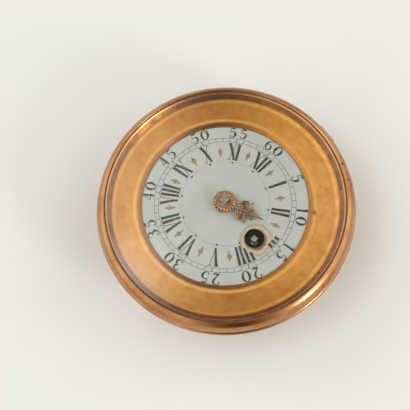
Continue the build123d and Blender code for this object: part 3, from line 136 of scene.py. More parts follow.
def srgb(red, green, blue):
    """Linear colour of a screen colour given in 0 to 255."""
    value = np.array([red, green, blue]) / 255
    return (*np.where(value < 0.04045, value / 12.92, ((value + 0.055) / 1.055) ** 2.4), 1)


def feed(node, values):
    """Sets inputs of a node to values, or links them to outputs of other nodes."""
    for key, value in values.items():
        if isinstance(value, bpy.types.NodeSocket):
            node.id_data.links.new(value, node.inputs[key])
        else:
            node.inputs[key].default_value = value


def wire(tree, kind, values, **settings):
    """Adds a node, makes its settings and sets or links its inputs."""
    node = tree.nodes.new(kind)
    for key, value in settings.items():
        setattr(node, key, value)
    feed(node, values)
    return node


def mix_colour(tree, mask, first, second):
    """Colour that goes from the first to the second as the mask goes from 0 to 1."""
    return wire(tree, "ShaderNodeMix", {0: mask, 6: first, 7: second}, data_type="RGBA").outputs[2]


def calculate(tree, operation, first, second=0.0, third=0.0):
    """Value of a math node."""
    values = {0: first, 1: second, 2: third}
    return wire(tree, "ShaderNodeMath", values, operation=operation).outputs[0]


def vector(tree, operation, first, second=(0, 0, 0)):
    """Vector of a vector math node."""
    values = {0: first, 1: second}
    return wire(tree, "ShaderNodeVectorMath", values, operation=operation).outputs[0]


def measure(tree, operation, first, second=(0, 0, 0)):
    """Value of a vector math node that gives a number: a length or a dot product."""
    values = {0: first, 1: second}
    return wire(tree, "ShaderNodeVectorMath", values, operation=operation).outputs["Value"]


def noise(tree, place, scale, detail, roughness=0.5):
    """Noise from 0 to 1 over a place."""
    values = {"Vector": place, "Scale": scale, "Detail": detail, "Roughness": roughness}
    return wire(tree, "ShaderNodeTexNoise", values).outputs["Fac"]


def ramp(tree, value, start, end, most=1.0, **settings):
    """Mask that goes from 0 to its most as a value goes from a start to an end."""
    values = {0: value, 1: start, 2: end, 4: most}
    return wire(tree, "ShaderNodeMapRange", values, **settings).outputs[0]


def object_place(tree):
    """Place on the object, in metres."""
    return wire(tree, "ShaderNodeTexCoord", {}).outputs["Object"]


def new_material(name):
    """Material with nodes, its node tree and its shader."""
    material = bpy.data.materials.new(name)
    material.use_nodes = True
    return material, material.node_tree, material.node_tree.nodes["Principled BSDF"]


def new_group(name, inputs, outputs):
    """Shader node group with named inputs and outputs, and its two ends."""
    group = bpy.data.node_groups.new(name, "ShaderNodeTree")
    for socket, kind, value in inputs:
        group.interface.new_socket(socket, in_out="INPUT", socket_type=kind).default_value = value
    for socket, kind in outputs:
        group.interface.new_socket(socket, in_out="OUTPUT", socket_type=kind)
    given = group.nodes.new("NodeGroupInput").outputs
    asked = group.nodes.new("NodeGroupOutput")
    return group, given, asked


# Age of metal: clouds of tarnish, a speckled grain and a few small dark pits
age_group, given, asked = new_group(
    "metal_age",
    [
        ("Clean", "NodeSocketColor", (1, 1, 1, 1)),
        ("Tarnish", "NodeSocketColor", (0, 0, 0, 1)),
        ("Clouds", "NodeSocketFloat", 100.0),
        ("Pits", "NodeSocketFloat", 0.1),
    ],
    [("Colour", "NodeSocketColor"), ("Dull", "NodeSocketFloat"), ("Height", "NodeSocketFloat")],
)
place = object_place(age_group)
cloud = ramp(age_group, noise(age_group, place, given["Clouds"], 6.0, 0.62), 0.38, 0.72)
grain = noise(age_group, place, 2600.0, 3.0)
speckle = ramp(age_group, grain, 0.45, 0.7, 0.4)
blotch = calculate(age_group, "MAXIMUM", cloud, speckle)
cells = wire(age_group, "ShaderNodeTexVoronoi", {"Vector": place, "Scale": 420.0}).outputs
near = ramp(age_group, cells["Distance"], 0.16, 0.08)
chosen = calculate(age_group, "LESS_THAN", cells["Color"], given["Pits"])
pit = calculate(age_group, "MULTIPLY", near, chosen)
tarnished = mix_colour(age_group, blotch, given["Clean"], given["Tarnish"])
pitted = mix_colour(age_group, pit, tarnished, srgb(48, 30, 18))
dull = calculate(age_group, "MULTIPLY", cloud, grain)
height = calculate(age_group, "MULTIPLY", grain, 0.15)
height = calculate(age_group, "SUBTRACT", height, pit)
feed(asked, {"Colour": pitted, "Dull": dull, "Height": height})

# Marks of turning: fine rings about the clock's axis, and longer streaks of wear that follow them
ring_group, given, asked = new_group(
    "turned_rings",
    [("Fineness", "NodeSocketFloat", 9000.0)],
    [("Height", "NodeSocketFloat"), ("Streak", "NodeSocketFloat")],
)
level = vector(ring_group, "MULTIPLY", object_place(ring_group), (1, 1, 0))
radius = measure(ring_group, "LENGTH", level)
rings = wire(
    ring_group,
    "ShaderNodeTexNoise",
    {"W": radius, "Scale": given["Fineness"], "Detail": 2.0},
    noise_dimensions="1D",
).outputs["Fac"]
around = vector(ring_group, "MULTIPLY", vector(ring_group, "NORMALIZE", level), (5, 5, 5))
outward = calculate(ring_group, "MULTIPLY", radius, 5200.0)
outward = wire(ring_group, "ShaderNodeCombineXYZ", {"Z": outward}).outputs[0]
streak = noise(ring_group, vector(ring_group, "ADD", around, outward), 1.0, 4.0, 0.7)
feed(asked, {"Height": rings, "Streak": ramp(ring_group, streak, 0.4, 0.7)})

turned_stretch = 0.75


def aged_metal(
    name, clean, tarnish, roughness, dullness, clouds=110.0, pits=0.3, turned=0.0, bumps=0.5
):
    """Metal with the shared age, rougher by the dullness where tarnished, and turned if asked."""
    material, tree, shader = new_material(name)
    age = wire(
        tree,
        "ShaderNodeGroup",
        {"Clean": clean, "Tarnish": tarnish, "Clouds": clouds, "Pits": pits},
        node_tree=age_group,
    ).outputs
    colour = age["Colour"]
    rough = calculate(tree, "MULTIPLY_ADD", age["Dull"], dullness, roughness)
    height = age["Height"]
    if turned:
        rings = wire(tree, "ShaderNodeGroup", {}, node_tree=ring_group).outputs
        height = calculate(tree, "MULTIPLY_ADD", rings["Height"], turned, height)
        streak = calculate(tree, "MULTIPLY", rings["Streak"], 0.5)
        colour = mix_colour(tree, streak, colour, tarnish)
        across = wire(tree, "ShaderNodeTangent", {}, direction_type="UV_MAP", uv_map="turns")
        feed(shader, {"Anisotropic": turned_stretch, "Tangent": across.outputs[0]})
    values = {"Strength": bumps, "Distance": 0.02 * millimetre, "Height": height}
    bump = wire(tree, "ShaderNodeBump", values).outputs[0]
    feed(shader, {"Base Color": colour, "Metallic": 1.0, "Roughness": rough, "Normal": bump})
    return material


gilt_polished = aged_metal(
    "gilt_polished", srgb(192, 142, 97), srgb(164, 100, 59), 0.2, 0.25, bumps=0.2
)

hinge_low, hinge_high = span("bezel_hinge_pin")
hinge_middle = (hinge_low + hinge_high) / 2
parting = hinge_middle[2]
hinge_outward = np.array([hinge_middle[0], hinge_middle[1], 0]) / np.hypot(*hinge_middle[:2])
hinge_along = np.array([hinge_outward[1], -hinge_outward[0], 0])
knuckle_radius = 0.45
knuckle_length = 1.6
knuckle_gap = 0.1
knuckle_clear = 0.6


def clear_hinge(points, nearest, furthest):
    """Points moved out of the hinge's clearance, a cylinder along its axis, to its face.

    Only points between a nearest and a furthest distance along the axis are moved.
    """
    offset = points - hinge_middle
    along = np.abs(offset @ hinge_along)
    out = offset @ hinge_outward
    reach = np.maximum(np.hypot(out, offset[:, 2]), 0.001)
    inside = (along >= nearest) & (along <= furthest) & (reach < knuckle_clear)
    push = np.where(inside, knuckle_clear / reach - 1, 0)
    moved = out[:, None] * hinge_outward + offset[:, 2:] * np.array([0, 0, 1])
    return points + moved * push[:, None]


case_low, case_high = span("case_body")
bead_outer = case_high[0]
bead_radius = 0.7
case_top = parting - 0.05
bead_middle = (bead_outer - bead_radius, case_top - bead_radius)
bead_bottom = case_top - 2 * bead_radius
back_high = span("case_back")[1]
drum_outer = back_high[0]
drum_inner = drum_outer - 0.8
ledge_inner = drum_inner - 2.6
ledge_top = span("pillar_plate")[1][2]
ledge_bottom = ledge_top - 1.0
fillet = 0.5
case_profile = np.vstack(
    [
        arc(bead_middle, bead_radius, -90, 90),
        [
            (drum_inner, case_top),
            (drum_inner, ledge_top),
            (ledge_inner, ledge_top),
            (ledge_inner, ledge_bottom),
            (drum_inner, ledge_bottom),
            (drum_inner, case_low[2]),
            (drum_outer, case_low[2]),
            (drum_outer, bead_bottom - fillet),
        ],
        arc((drum_outer + fillet, bead_bottom - fillet), fillet, 180, 90, 7),
    ]
)
points, faces = lathe(case_profile)
points = clear_hinge(points, 0, knuckle_length / 2 + knuckle_gap)
drum = add_piece("case_drum", points, faces, "case", "gilt_polished", gilt_polished, "case_body")
soften(drum, 0.08)

# Hinge knuckles of the case
# Two short tubes hard-soldered to the girth bead, each side of the bezel's own knuckle.
# A rounded profile is carried round the hinge's axis.
knuckle_steps = 48


def knuckle(start):
    """Short cylinder with rounded ends along the hinge's axis, from a distance to its middle."""
    edge = 0.15
    profile = np.vstack(
        [
            [(0, 0)],
            arc((knuckle_radius - edge, edge), edge, -90, 0, 5),
            arc((knuckle_radius - edge, knuckle_length - edge), edge, 0, 90, 5),
            [(0, knuckle_length)],
        ]
    )
    turn = full_turn(knuckle_steps)[:, None]
    out = profile[None, :, 0] * np.cos(turn)
    up = profile[None, :, 0] * np.sin(turn)
    along = np.broadcast_to(start + profile[None, :, 1], out.shape)
    points = (
        hinge_middle
        + out[..., None] * hinge_outward
        + along[..., None] * hinge_along
        + up[..., None] * np.array([0, 0, 1])
    )
    return points.reshape(-1, 3), grid_faces(knuckle_steps, len(profile), True)


knuckle_starts = (knuckle_length / 2 + knuckle_gap, -1.5 * knuckle_length - knuckle_gap)
for number, start in enumerate(knuckle_starts):
    name = f"case_knuckle_{number}"
    add_piece(name, *knuckle(start), "case", "gilt_polished", gilt_polished)

# Back lid
# A flat turned disc that snaps into the drum and is the face the clock lies on.
# The profile runs from the middle of the lid round its edge and skirt; turning marks stay on it.


def map_turns(piece):
    """UV map of a turned piece: u runs out and up across the turning marks, v round the axis.

    Every face starts from its own angle, so that none is stretched over the seam.
    """
    mesh = piece.data
    place = np.empty(3 * len(mesh.vertices))
    mesh.vertices.foreach_get("co", place)
    corner = np.empty(len(mesh.loops), int)
    mesh.loops.foreach_get("vertex_index", corner)
    x, y, z = place.reshape(-1, 3)[corner].T
    middle = np.empty(3 * len(mesh.polygons))
    mesh.polygons.foreach_get("center", middle)
    count = np.empty(len(mesh.polygons), int)
    mesh.polygons.foreach_get("loop_total", count)
    home = np.repeat(np.arctan2(middle[1::3], middle[0::3]), count)
    lead = (np.arctan2(y, x) - home + np.pi) % (2 * np.pi) - np.pi
    lead = np.where(np.hypot(x, y) < 0.001 * millimetre, 0, lead)
    across = 20 * (np.hypot(x, y) + z)
    chart = np.column_stack([across, (home + lead) / (2 * np.pi) + 0.5])
    mesh.uv_layers.new(name="turns").data.foreach_set("uv", chart.ravel())


gilt_turned = aged_metal(
    "gilt_turned", srgb(214, 168, 104), srgb(176, 112, 64), 0.22, 0.35, clouds=80.0, turned=0.5
)
lid_edge = 0.4
skirt_outer = drum_inner - 0.01
skirt_inner = skirt_outer - 0.69
back_profile = np.vstack(
    [
        [(0, 0)],
        arc((drum_outer - lid_edge, lid_edge), lid_edge, -90, 0, 9),
        [
            (drum_outer, case_low[2]),
            (skirt_outer, case_low[2]),
            (skirt_outer, back_high[2]),
            (skirt_inner, back_high[2]),
            (skirt_inner, case_low[2]),
            (0, case_low[2]),
        ],
    ]
)
back_lid = lathe(back_profile)
back_lid = add_piece("back_lid", *back_lid, "case", "gilt_polished", gilt_turned, "case_back")
map_turns(back_lid)
soften(back_lid, 0.06)

# Movement
# Plates, train, fusee, barrel, escapement and motion work keep their CAD shapes: gilt brass
# plates and wheels, polished steel arbors and pinions, and a few blued screws and springs.
movement_brass = aged_metal(
    "movement_brass", srgb(206, 168, 100), srgb(150, 108, 58), 0.3, 0.3, clouds=160.0, pits=0.2
)
# Painted shade: the pillar plate, seen down the winding hole, is coloured near black for the shade
# there.
hole_shade_brass = aged_metal(
    "hole_shade_brass", srgb(58, 46, 34), srgb(30, 24, 20), 0.5, 0.3, clouds=220.0, pits=0.2
)
steel = aged_metal("steel", srgb(214, 212, 208), srgb(160, 154, 148), 0.3, 0.4, clouds=700.0)
blued_steel = aged_metal("blued_steel", srgb(52, 62, 118), srgb(40, 36, 64), 0.2, 0.2, clouds=300.0)
copper = aged_metal("copper", srgb(196, 128, 92), srgb(140, 78, 50), 0.3, 0.3, clouds=300.0)
kept_nodes = (
    (
        movement_brass,
        "movement_brass",
        "movement_ring top_plate pillars fusee_cone great_wheel barrel barrel_lid centre_wheel "
        "third_wheel contrate_wheel crown_wheel potence counter_potence balance_wheel balance_cock "
        "hour_wheel minute_wheel spring_stud",
    ),
    (hole_shade_brass, "movement_brass", "pillar_plate"),
    (
        steel,
        "steel",
        "bezel_hinge_pin dial_foot_pins minute_stud pillar_pins fusee_arbor barrel_arbor "
        "fusee_chain setup_ratchet centre_arbor third_arbor contrate_arbor crown_arbor verge "
        "cannon_pinion",
    ),
    (blued_steel, "blued_steel", "ring_screws cock_screws setup_click mainspring balance_spring"),
    (copper, "copper", "dial_feet"),
)
for material, slot, names in kept_nodes:
    for name in names.split():
        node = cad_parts[name]
        node.data.materials.clear()
        node.data.materials.append(material)

# Dial plate
# Copper enamelled white and fired, slightly domed, with a centre hole and a winding hole whose
# edge is worn to a beige ring. A polar grid, with the cells about the winding hole led to its rim.
dial_low, dial_high = span("dial")
dial_radius = dial_high[0]
dial_top = dial_high[2]
dial_thick = 0.6
dial_edge_top = dial_low[2] + dial_thick
dial_rise = dial_top - dial_edge_top
centre_hole = 2.0
winding_hole = 2.25
winding_low, winding_high = span("fusee_arbor")
winding = (winding_low[:2] + winding_high[:2]) / 2
winding_turn = np.arctan2(winding[1], winding[0])


def dome(radius):
    """Height of the dial's face: a cap of a sphere with the dial's rise over its radius."""
    sphere = (dial_radius**2 + dial_rise**2) / (2 * dial_rise)
    return dial_top - sphere + np.sqrt(sphere**2 - radius**2)


ring_count = 37
spoke_count = 360
collar_steps = 13
first_spoke, last_spoke = 160, 200
first_ring, last_ring = 10, 25
ring_radii = np.linspace(centre_hole, dial_radius, ring_count)[None]
ring_turns = winding_turn + np.radians(np.arange(-180, 180))[:, None]
flat = np.stack([ring_radii * np.cos(ring_turns), ring_radii * np.sin(ring_turns)], -1)
cell_faces = grid_faces(spoke_count, ring_count, True).reshape(spoke_count, ring_count - 1, 4)
kept_cells = np.ones((spoke_count, ring_count - 1), bool)
kept_cells[first_spoke:last_spoke, first_ring:last_ring] = False
edge = np.vstack(
    [
        flat[first_spoke:last_spoke, first_ring],
        flat[last_spoke, first_ring:last_ring],
        flat[last_spoke:first_spoke:-1, last_ring],
        flat[first_spoke, last_ring:first_ring:-1],
    ]
)
ray = edge - winding
rim = winding + winding_hole * ray / np.linalg.norm(ray, axis=1, keepdims=True)
share = np.linspace(0, 1, collar_steps)[None, :, None]
collar = rim[:, None] * (1 - share) + edge[:, None] * share
flat_points = np.vstack([flat.reshape(-1, 2), collar.reshape(-1, 2)])
points = np.column_stack([flat_points, dome(np.hypot(*flat_points.T))])
collar_faces = grid_faces(len(edge), collar_steps, True)[:, ::-1] + spoke_count * ring_count
faces = np.vstack([cell_faces[kept_cells], collar_faces])


def ring_mask(tree, distance, middle, reach, full=0.0, most=1.0):
    """Mask of a ring about a middle distance: its most within full of it, 0 from reach on."""
    away = calculate(tree, "SUBTRACT", distance, middle * millimetre)
    away = calculate(tree, "ABSOLUTE", away)
    return ramp(tree, away, reach * millimetre, full * millimetre, most)


enamel, tree, shader = new_material("enamel")
place = object_place(tree)
soil = ramp(tree, noise(tree, place, 130.0, 5.0), 0.45, 0.75, 0.6)
white = mix_colour(tree, soil, srgb(199, 199, 194), srgb(187, 185, 177))
worn_place = (*((winding * 1.04) * millimetre), 0)
offset = vector(tree, "SUBTRACT", place, worn_place)
distance = measure(tree, "LENGTH", vector(tree, "MULTIPLY", offset, (1, 1, 0)))
ragged = noise(tree, place, 280.0, 6.0, 0.62)
distance = calculate(tree, "MULTIPLY_ADD", ragged, 1.8 * millimetre, distance)
worn = ramp(tree, distance, 4.5 * millimetre, 4.0 * millimetre)
# Browner still right at the winding hole's edge.
hole_edge_brown = ramp(tree, distance, 3.75 * millimetre, 3.1 * millimetre)
beige = mix_colour(tree, hole_edge_brown, srgb(214, 196, 171), srgb(124, 96, 70))
stain = ring_mask(tree, distance, 4.25, 0.55, most=0.6)
colour = mix_colour(tree, stain, mix_colour(tree, worn, white, beige), srgb(156, 126, 98))
rough = calculate(tree, "MULTIPLY_ADD", worn, 0.4, 0.16)
values = {"Strength": 0.5, "Distance": 0.03 * millimetre, "Height": ragged}
bump = wire(tree, "ShaderNodeBump", values).outputs[0]
plain = wire(tree, "ShaderNodeNewGeometry", {}).outputs["Normal"]
normal = wire(tree, "ShaderNodeMix", {0: worn, 4: plain, 5: bump}, data_type="VECTOR").outputs[1]
feed(shader, {"Base Color": colour, "Roughness": rough, "Normal": normal})
plate = add_piece("dial_plate", points, faces, "case", "enamel", enamel, "dial")
thicken = plate.modifiers.new("plate", "SOLIDIFY")
thicken.thickness = dial_thick * millimetre
thicken.offset = -1
soften(plate, 0.1)

# Minute track and hour dots
# Fine black lines fired into the enamel: two circles with sixty ticks between, and a dot for each
# hour on a faint circle. Every line is a pen stroke laid round the dome.
black_paint, tree, shader = new_material("black_paint")
thin = ramp(tree, noise(tree, object_place(tree), 900.0, 3.0), 0.45, 0.8)
black = mix_colour(tree, thin, srgb(40, 38, 38), srgb(104, 94, 84))
feed(shader, {"Base Color": black, "Roughness": 0.3})
stroke_steps = 28
paint_lift = 0.015
worn_radius = 3.3


def stroke(path, steps=stroke_steps):
    """Pen stroke: left and right edge of a smooth curve through points of x, y and width.

    Between two points it is a cubic whose slopes follow their neighbours (a Catmull-Rom curve).
    """
    path = np.array(path, float)
    path = np.vstack([2 * path[0] - path[1], path, 2 * path[-1] - path[-2]])
    time = np.linspace(0, len(path) - 3, steps)
    first = np.minimum(time.astype(int), len(path) - 4)
    part = (time - first)[:, None]
    a, b, c, d = (path[first + step] for step in range(4))
    bend = 2 * a - 5 * b + 4 * c - d
    twist = 3 * b - a - 3 * c + d
    curve = b + part * ((c - a) + part * (bend + part * twist)) / 2
    way = np.gradient(curve[:, :2], axis=0)
    way = way / np.linalg.norm(way, axis=1, keepdims=True)
    half = np.maximum(curve[:, 2:], 0.02) / 2
    side = np.stack([-way[:, 1], way[:, 0]], 1) * half
    return np.stack([curve[:, :2] + side, curve[:, :2] - side], 1)


def on_dial(strokes, clock_angle, radius, bend_radius):
    """Strokes bent round the dial: y adds to the radius, x turns clockwise from a clock angle."""
    strokes = np.array(strokes)
    far = radius + strokes[..., 1]
    turn = np.radians(clock_angle) + strokes[..., 0] / bend_radius
    return np.stack([far * np.sin(turn), far * np.cos(turn), dome(far) + paint_lift], -1)


def add_paint(name, laid, slot, material):
    """All strokes of one paint as one piece on the dial, less those worn off at the winding."""
    laid = np.concatenate(laid)
    count, steps = laid.shape[:2]
    one = grid_faces(steps, 2)
    faces = (one[None] + 2 * steps * np.arange(count)[:, None, None]).reshape(-1, 4)
    points = laid.reshape(-1, 3)
    away = np.linalg.norm(points[faces].mean(1)[:, :2] - winding, axis=1)
    used, faces = np.unique(faces[away > worn_radius], return_inverse=True)
    paint = add_piece(name, points[used], faces.reshape(-1, 4), "case", slot, material)
    body = paint.modifiers.new("paint_body", "SOLIDIFY")
    body.thickness = 1.3 * paint_lift * millimetre
    body.offset = -1


def circle_line(radius, width):
    """Twelve strokes that follow one another round a circle."""
    reach = np.pi * radius / 12
    line = stroke([(-reach, 0, width), (reach, 0, width)])
    return [on_dial([line], hour * 30.0, radius, radius) for hour in range(12)]


def spot(radius):
    """Round dot as a stroke whose width follows a circle."""
    along = radius * np.cos(np.linspace(np.pi, 0, stroke_steps))
    half = np.sqrt(np.maximum(radius**2 - along**2, 0))
    return np.stack([np.stack([along, half], 1), np.stack([along, -half], 1)], 1)


track_inner = 15.2
track_outer = 16.15
track_line = 0.085
tick_line = 0.09
five_minute_line = 0.16
hour_dot = 0.23
dot_place = 9.95
track = circle_line(track_inner, track_line) + circle_line(track_outer, track_line)
for minute in range(60):
    width = five_minute_line if minute % 5 == 0 else tick_line
    tick = stroke([(0, 0, width), (0, track_outer - track_inner, width)])
    track.append(on_dial([tick], minute * 6.0, track_inner, track_inner))
for hour in range(12):
    track.append(on_dial([spot(hour_dot)], hour * 30.0, dot_place, dot_place))
add_paint("minute_track", track, "enamel", black_paint)
faint_paint = black_paint.copy()
faint_paint.name = "faint_paint"
faint_shader = faint_paint.node_tree.nodes["Principled BSDF"]
faint_mix = faint_shader.inputs["Base Color"].links[0].from_node
feed(faint_mix, {6: srgb(120, 118, 112), 7: srgb(170, 168, 158)})
add_paint("dot_circle", circle_line(10.1, 0.05), "enamel", faint_paint)

# Hour numerals
# Roman numerals with their feet to the centre, painted with broad down strokes, hairlines and
# thin serifs. Next to the winding hole the three is worn away but for its outer ends.
numeral_foot = 10.7
numeral_height = 4.15
numeral_bend = 12.8
worn_height = 3.0
broad = 0.61
hairline = 0.13
serif = 0.11
serif_half = 0.46
letter_widths = {"I": 0.97, "V": 1.65, "X": 1.65}


def letter_strokes(letter, middle, lost=0.0):
    """Strokes of one Roman letter about a middle, without the part below a lost height."""
    half = (letter_widths[letter] - 0.3) / 2
    top = numeral_height
    lines = []
    if letter == "I":
        lines.append([(middle, lost, broad), (middle, top, broad)])
        ends = [(middle, top)] if lost else [(middle, 0), (middle, top)]
    elif letter == "V":
        lines.append([(middle - half, top, broad), (middle + 0.1, 0, broad * 0.8)])
        lines.append([(middle + half, top, hairline), (middle + 0.1, 0, hairline)])
        ends = [(middle - half, top), (middle + half, top)]
    else:
        lines.append([(middle - half, top, broad), (middle + half, 0, broad)])
        lines.append([(middle + half, top, hairline), (middle - half, 0, hairline)])
        ends = [(middle + x, y) for x in (-half, half) for y in (0, top)]
    lines += [[(x - serif_half, y, serif), (x + serif_half, y, serif)] for x, y in ends]
    return [stroke(line) for line in lines]


hour_names = ("XII", "I", "II", "III", "IIII", "V", "VI", "VII", "VIII", "IX", "X", "XI")
laid = []
for hour, letters in enumerate(hour_names):
    left = -sum(letter_widths[letter] for letter in letters) / 2
    for letter in letters:
        middle = left + letter_widths[letter] / 2
        lost = worn_height if hour == 3 else 0.0
        strokes = letter_strokes(letter, middle, lost)
        laid.append(on_dial(strokes, hour * 30.0, numeral_foot, numeral_bend))
        left += letter_widths[letter]
add_paint("hour_numerals", laid, "enamel", black_paint)

# Minute numerals
# Arabic figures for every five minutes outside the track, tops outward, written with a broad pen:
# each figure is one to three strokes of changing width.
oval = np.radians(np.linspace(90, 450, 13))
figure_strokes = {
    "0": [
        np.column_stack(
            [0.66 * np.cos(oval), 1.15 + 1.05 * np.sin(oval), 0.13 + 0.3 * np.cos(oval) ** 2]
        )
    ],
    "1": [
        [(0, 2.3, 0.36), (0, 0, 0.36)],
        [(-0.42, 1.9, 0.08), (-0.1, 2.2, 0.22)],
        [(-0.4, 0.04, 0.09), (0.4, 0.04, 0.09)],
    ],
    "2": [
        [
            (-0.6, 1.7, 0.26), (-0.42, 2.15, 0.13), (0.05, 2.28, 0.13), (0.52, 1.85, 0.36),
            (0.36, 1.2, 0.34), (-0.15, 0.6, 0.18), (-0.64, 0.1, 0.12),
        ],
        [(-0.62, 0.14, 0.14), (-0.1, 0.24, 0.3), (0.4, 0.1, 0.26), (0.68, 0.42, 0.07)],
    ],
    "3": [
        [
            (-0.55, 1.85, 0.22), (-0.1, 2.28, 0.12), (0.42, 1.9, 0.34), (0.3, 1.4, 0.26),
            (-0.15, 1.22, 0.08),
        ],
        [
            (-0.15, 1.22, 0.08), (0.42, 1.05, 0.3), (0.56, 0.55, 0.4), (0.1, 0.05, 0.13),
            (-0.42, 0.12, 0.12), (-0.6, 0.48, 0.26),
        ],
    ],
    "4": [
        [(0.26, 2.3, 0.1), (-0.7, 0.72, 0.1)],
        [(-0.7, 0.7, 0.13), (0.66, 0.7, 0.13)],
        [(0.26, 2.3, 0.34), (0.26, 0, 0.34)],
    ],
    "5": [
        [(-0.36, 2.2, 0.13), (0.1, 2.14, 0.28), (0.56, 2.28, 0.08)],
        [(-0.36, 2.2, 0.11), (-0.44, 1.25, 0.11)],
        [
            (-0.44, 1.25, 0.1), (0.05, 1.45, 0.13), (0.54, 1.05, 0.36), (0.46, 0.42, 0.36),
            (0.0, 0.05, 0.13), (-0.44, 0.12, 0.12), (-0.58, 0.46, 0.26),
        ],
    ],
    "6": [
        [
            (0.5, 2.2, 0.12), (-0.1, 2.02, 0.14), (-0.55, 1.35, 0.32), (-0.58, 0.7, 0.36),
            (-0.25, 0.1, 0.18), (0.18, 0.06, 0.13), (0.56, 0.5, 0.34), (0.42, 1.1, 0.26),
            (0.0, 1.3, 0.1), (-0.45, 1.0, 0.08),
        ],
    ],
}
figure_foot = 16.35
figure_size = np.array([1.12, 1.12, 1.35])
figure_pitch = 2.5
figure_bend = 17.5
figure_steps = 40
laid = []
for hour in range(12):
    digits = str(hour * 5 or 60)
    for order, digit in enumerate(digits):
        lean = np.degrees((order - (len(digits) - 1) / 2) * figure_pitch / figure_bend)
        paths = [np.array(path) * figure_size for path in figure_strokes[digit]]
        strokes = [stroke(path, figure_steps) for path in paths]
        laid.append(on_dial(strokes, hour * 30.0 + lean, figure_foot, figure_bend))
add_paint("minute_numerals", laid, "enamel", black_paint)

# Half-hour ornaments
# Small gilt fleurons between the hour numerals, painted on the enamel: a long petal outward, two
# side petals, a bar and a stem toward the centre. None is left beside the winding hole.
gold_paint = aged_metal(
    "gold_paint", srgb(172, 148, 118), srgb(140, 116, 90), 0.45, 0.3, clouds=900.0
)
feed(gold_paint.node_tree.nodes["Principled BSDF"], {"Metallic": 0.35})
fleuron = [
    stroke([(0, 0, 0.3), (0, 0.45, 0.66), (0, 0.95, 0.36), (0, 1.45, 0.04)]),
    stroke([(0, 0, 0.3), (0, -0.4, 0.5), (0, -0.8, 0.34), (0, -1.25, 0.04)]),
    stroke([(0.05, 0, 0.1), (0.3, 0.1, 0.34), (0.46, 0.26, 0.26), (0.58, 0.48, 0.06)]),
    stroke([(-0.05, 0, 0.1), (-0.3, 0.1, 0.34), (-0.46, 0.26, 0.26), (-0.58, 0.48, 0.06)]),
    stroke([(-0.45, -0.14, 0.14), (0.45, -0.14, 0.14)]),
]
fleuron_place = 12.4
laid = [
    on_dial(fleuron, hour * 30.0 + 15.0, fleuron_place, fleuron_place)
    for hour in range(12)
    if hour != 3
]
add_paint("half_hour_fleurons", laid, "gilt_satin", gold_paint)

# Hour hand
# A pierced hand of gilt copper, cast and chased: a spine to the point, ridged scrolls each side,
# two spurs and two small leaves. Each bar is a pen stroke with a rounded back.
hand_copper = aged_metal(
    "hand_copper", srgb(198, 155, 125), srgb(120, 91, 75), 0.35, 0.3, clouds=900.0, pits=0.35
)
hand_low, hand_high = span("hour_hand")
hand_clock_angle = 76
hand_turn = np.radians(hand_clock_angle)
hand_ahead = np.array([np.sin(hand_turn), np.cos(hand_turn), 0])
hand_side = np.array([np.cos(hand_turn), -np.sin(hand_turn), 0])
bar_steps = 36
bar_sides = 16
bar_fullness = 0.47


def relief(path, low, high):
    """Closed bar along a stroke: flat below, an arch of the stroke's width above, pointed ends."""
    edges = stroke(path, bar_steps)
    middle = edges.mean(1)[:, None]
    half = bar_fullness * (edges[:, :1] - edges[:, 1:])
    turn = full_turn(bar_sides)
    flat = middle + half * np.cos(turn)[None, :, None]
    start, end = (np.repeat(middle[[row]], bar_sides, 1) for row in (0, -1))
    flat = np.concatenate([start, flat, end])
    height = low + (high - low) * np.maximum(np.sin(turn), 0)
    height = np.broadcast_to(height, (len(flat), bar_sides)).copy()
    height[[0, -1]] = low
    return np.concatenate([flat, height[..., None]], -1)


spine = [
    (1.9, 0, 0.75), (3.2, 0, 0.55), (4.6, 0, 0.45), (6.2, 0, 0.5),
    (7.2, 0, 0.55), (7.9, 0, 0.85), (8.7, 0, 0.5), (9.68, 0, 0.04),
]
side_bars = (
    [(2.9, 0.1, 0.35), (3.3, 1.2, 0.45), (4.0, 2.05, 0.5), (4.9, 2.2, 0.5), (5.5, 1.6, 0.35)],
    [(3.3, 0.2, 0.3), (3.8, 1.15, 0.42), (4.5, 1.55, 0.42), (5.3, 1.15, 0.3)],
    [(3.9, 0.1, 0.3), (4.4, 0.75, 0.36), (5.0, 0.8, 0.36), (5.5, 0.3, 0.25)],
    [(3.1, 0.55, 0.2), (3.75, 1.6, 0.26), (4.5, 1.95, 0.26), (5.15, 1.65, 0.22), (5.0, 1.25, 0.2)],
    [(4.0, 0.35, 0.2), (4.45, 1.1, 0.26), (5.05, 1.0, 0.24), (5.15, 0.55, 0.2)],
    [(5.1, 0.6, 0.5), (5.7, 1.7, 0.62), (6.03, 2.83, 0.05)],
    [(5.7, 0.2, 0.35), (6.3, 1.0, 0.42), (6.95, 1.15, 0.46), (7.4, 0.7, 0.36), (7.1, 0.15, 0.25)],
    [(5.9, 0.15, 0.2), (6.4, 0.6, 0.26), (6.9, 0.65, 0.24), (7.0, 0.3, 0.2)],
)
hand_bottom = hand_low[2]
hand_top = hand_high[2]
spine_rise = 0.12
bars = [relief(spine, hand_bottom, hand_top + spine_rise)]
for side in (1, -1):
    for bar in side_bars:
        bars.append(relief(np.array(bar) * (1, side, 1), hand_bottom, hand_top))
bars = np.array(bars)
points = bars[..., :1] * hand_ahead + bars[..., 1:2] * hand_side
points = (points + bars[..., 2:] * np.array([0, 0, 1])).reshape(-1, 3)
one = grid_faces(bars.shape[1], bar_sides, False, True)
first_points = bars.shape[1] * bar_sides * np.arange(len(bars))
faces = (one[None] + first_points[:, None, None]).reshape(-1, 4)
add_piece(
    "hour_hand_scrolls", points, faces, "hour_work", "gilt_polished", hand_copper, "hour_hand"
)
pipe_radius = 1.6
boss_radius = 2.25
boss = np.array(
    [
        (pipe_radius, hand_bottom),
        (boss_radius, hand_bottom),
        (boss_radius, hand_top),
        (pipe_radius, hand_top),
    ]
)
add_piece("hour_hand_boss", *lathe(boss), "hour_work", "gilt_polished", hand_copper)

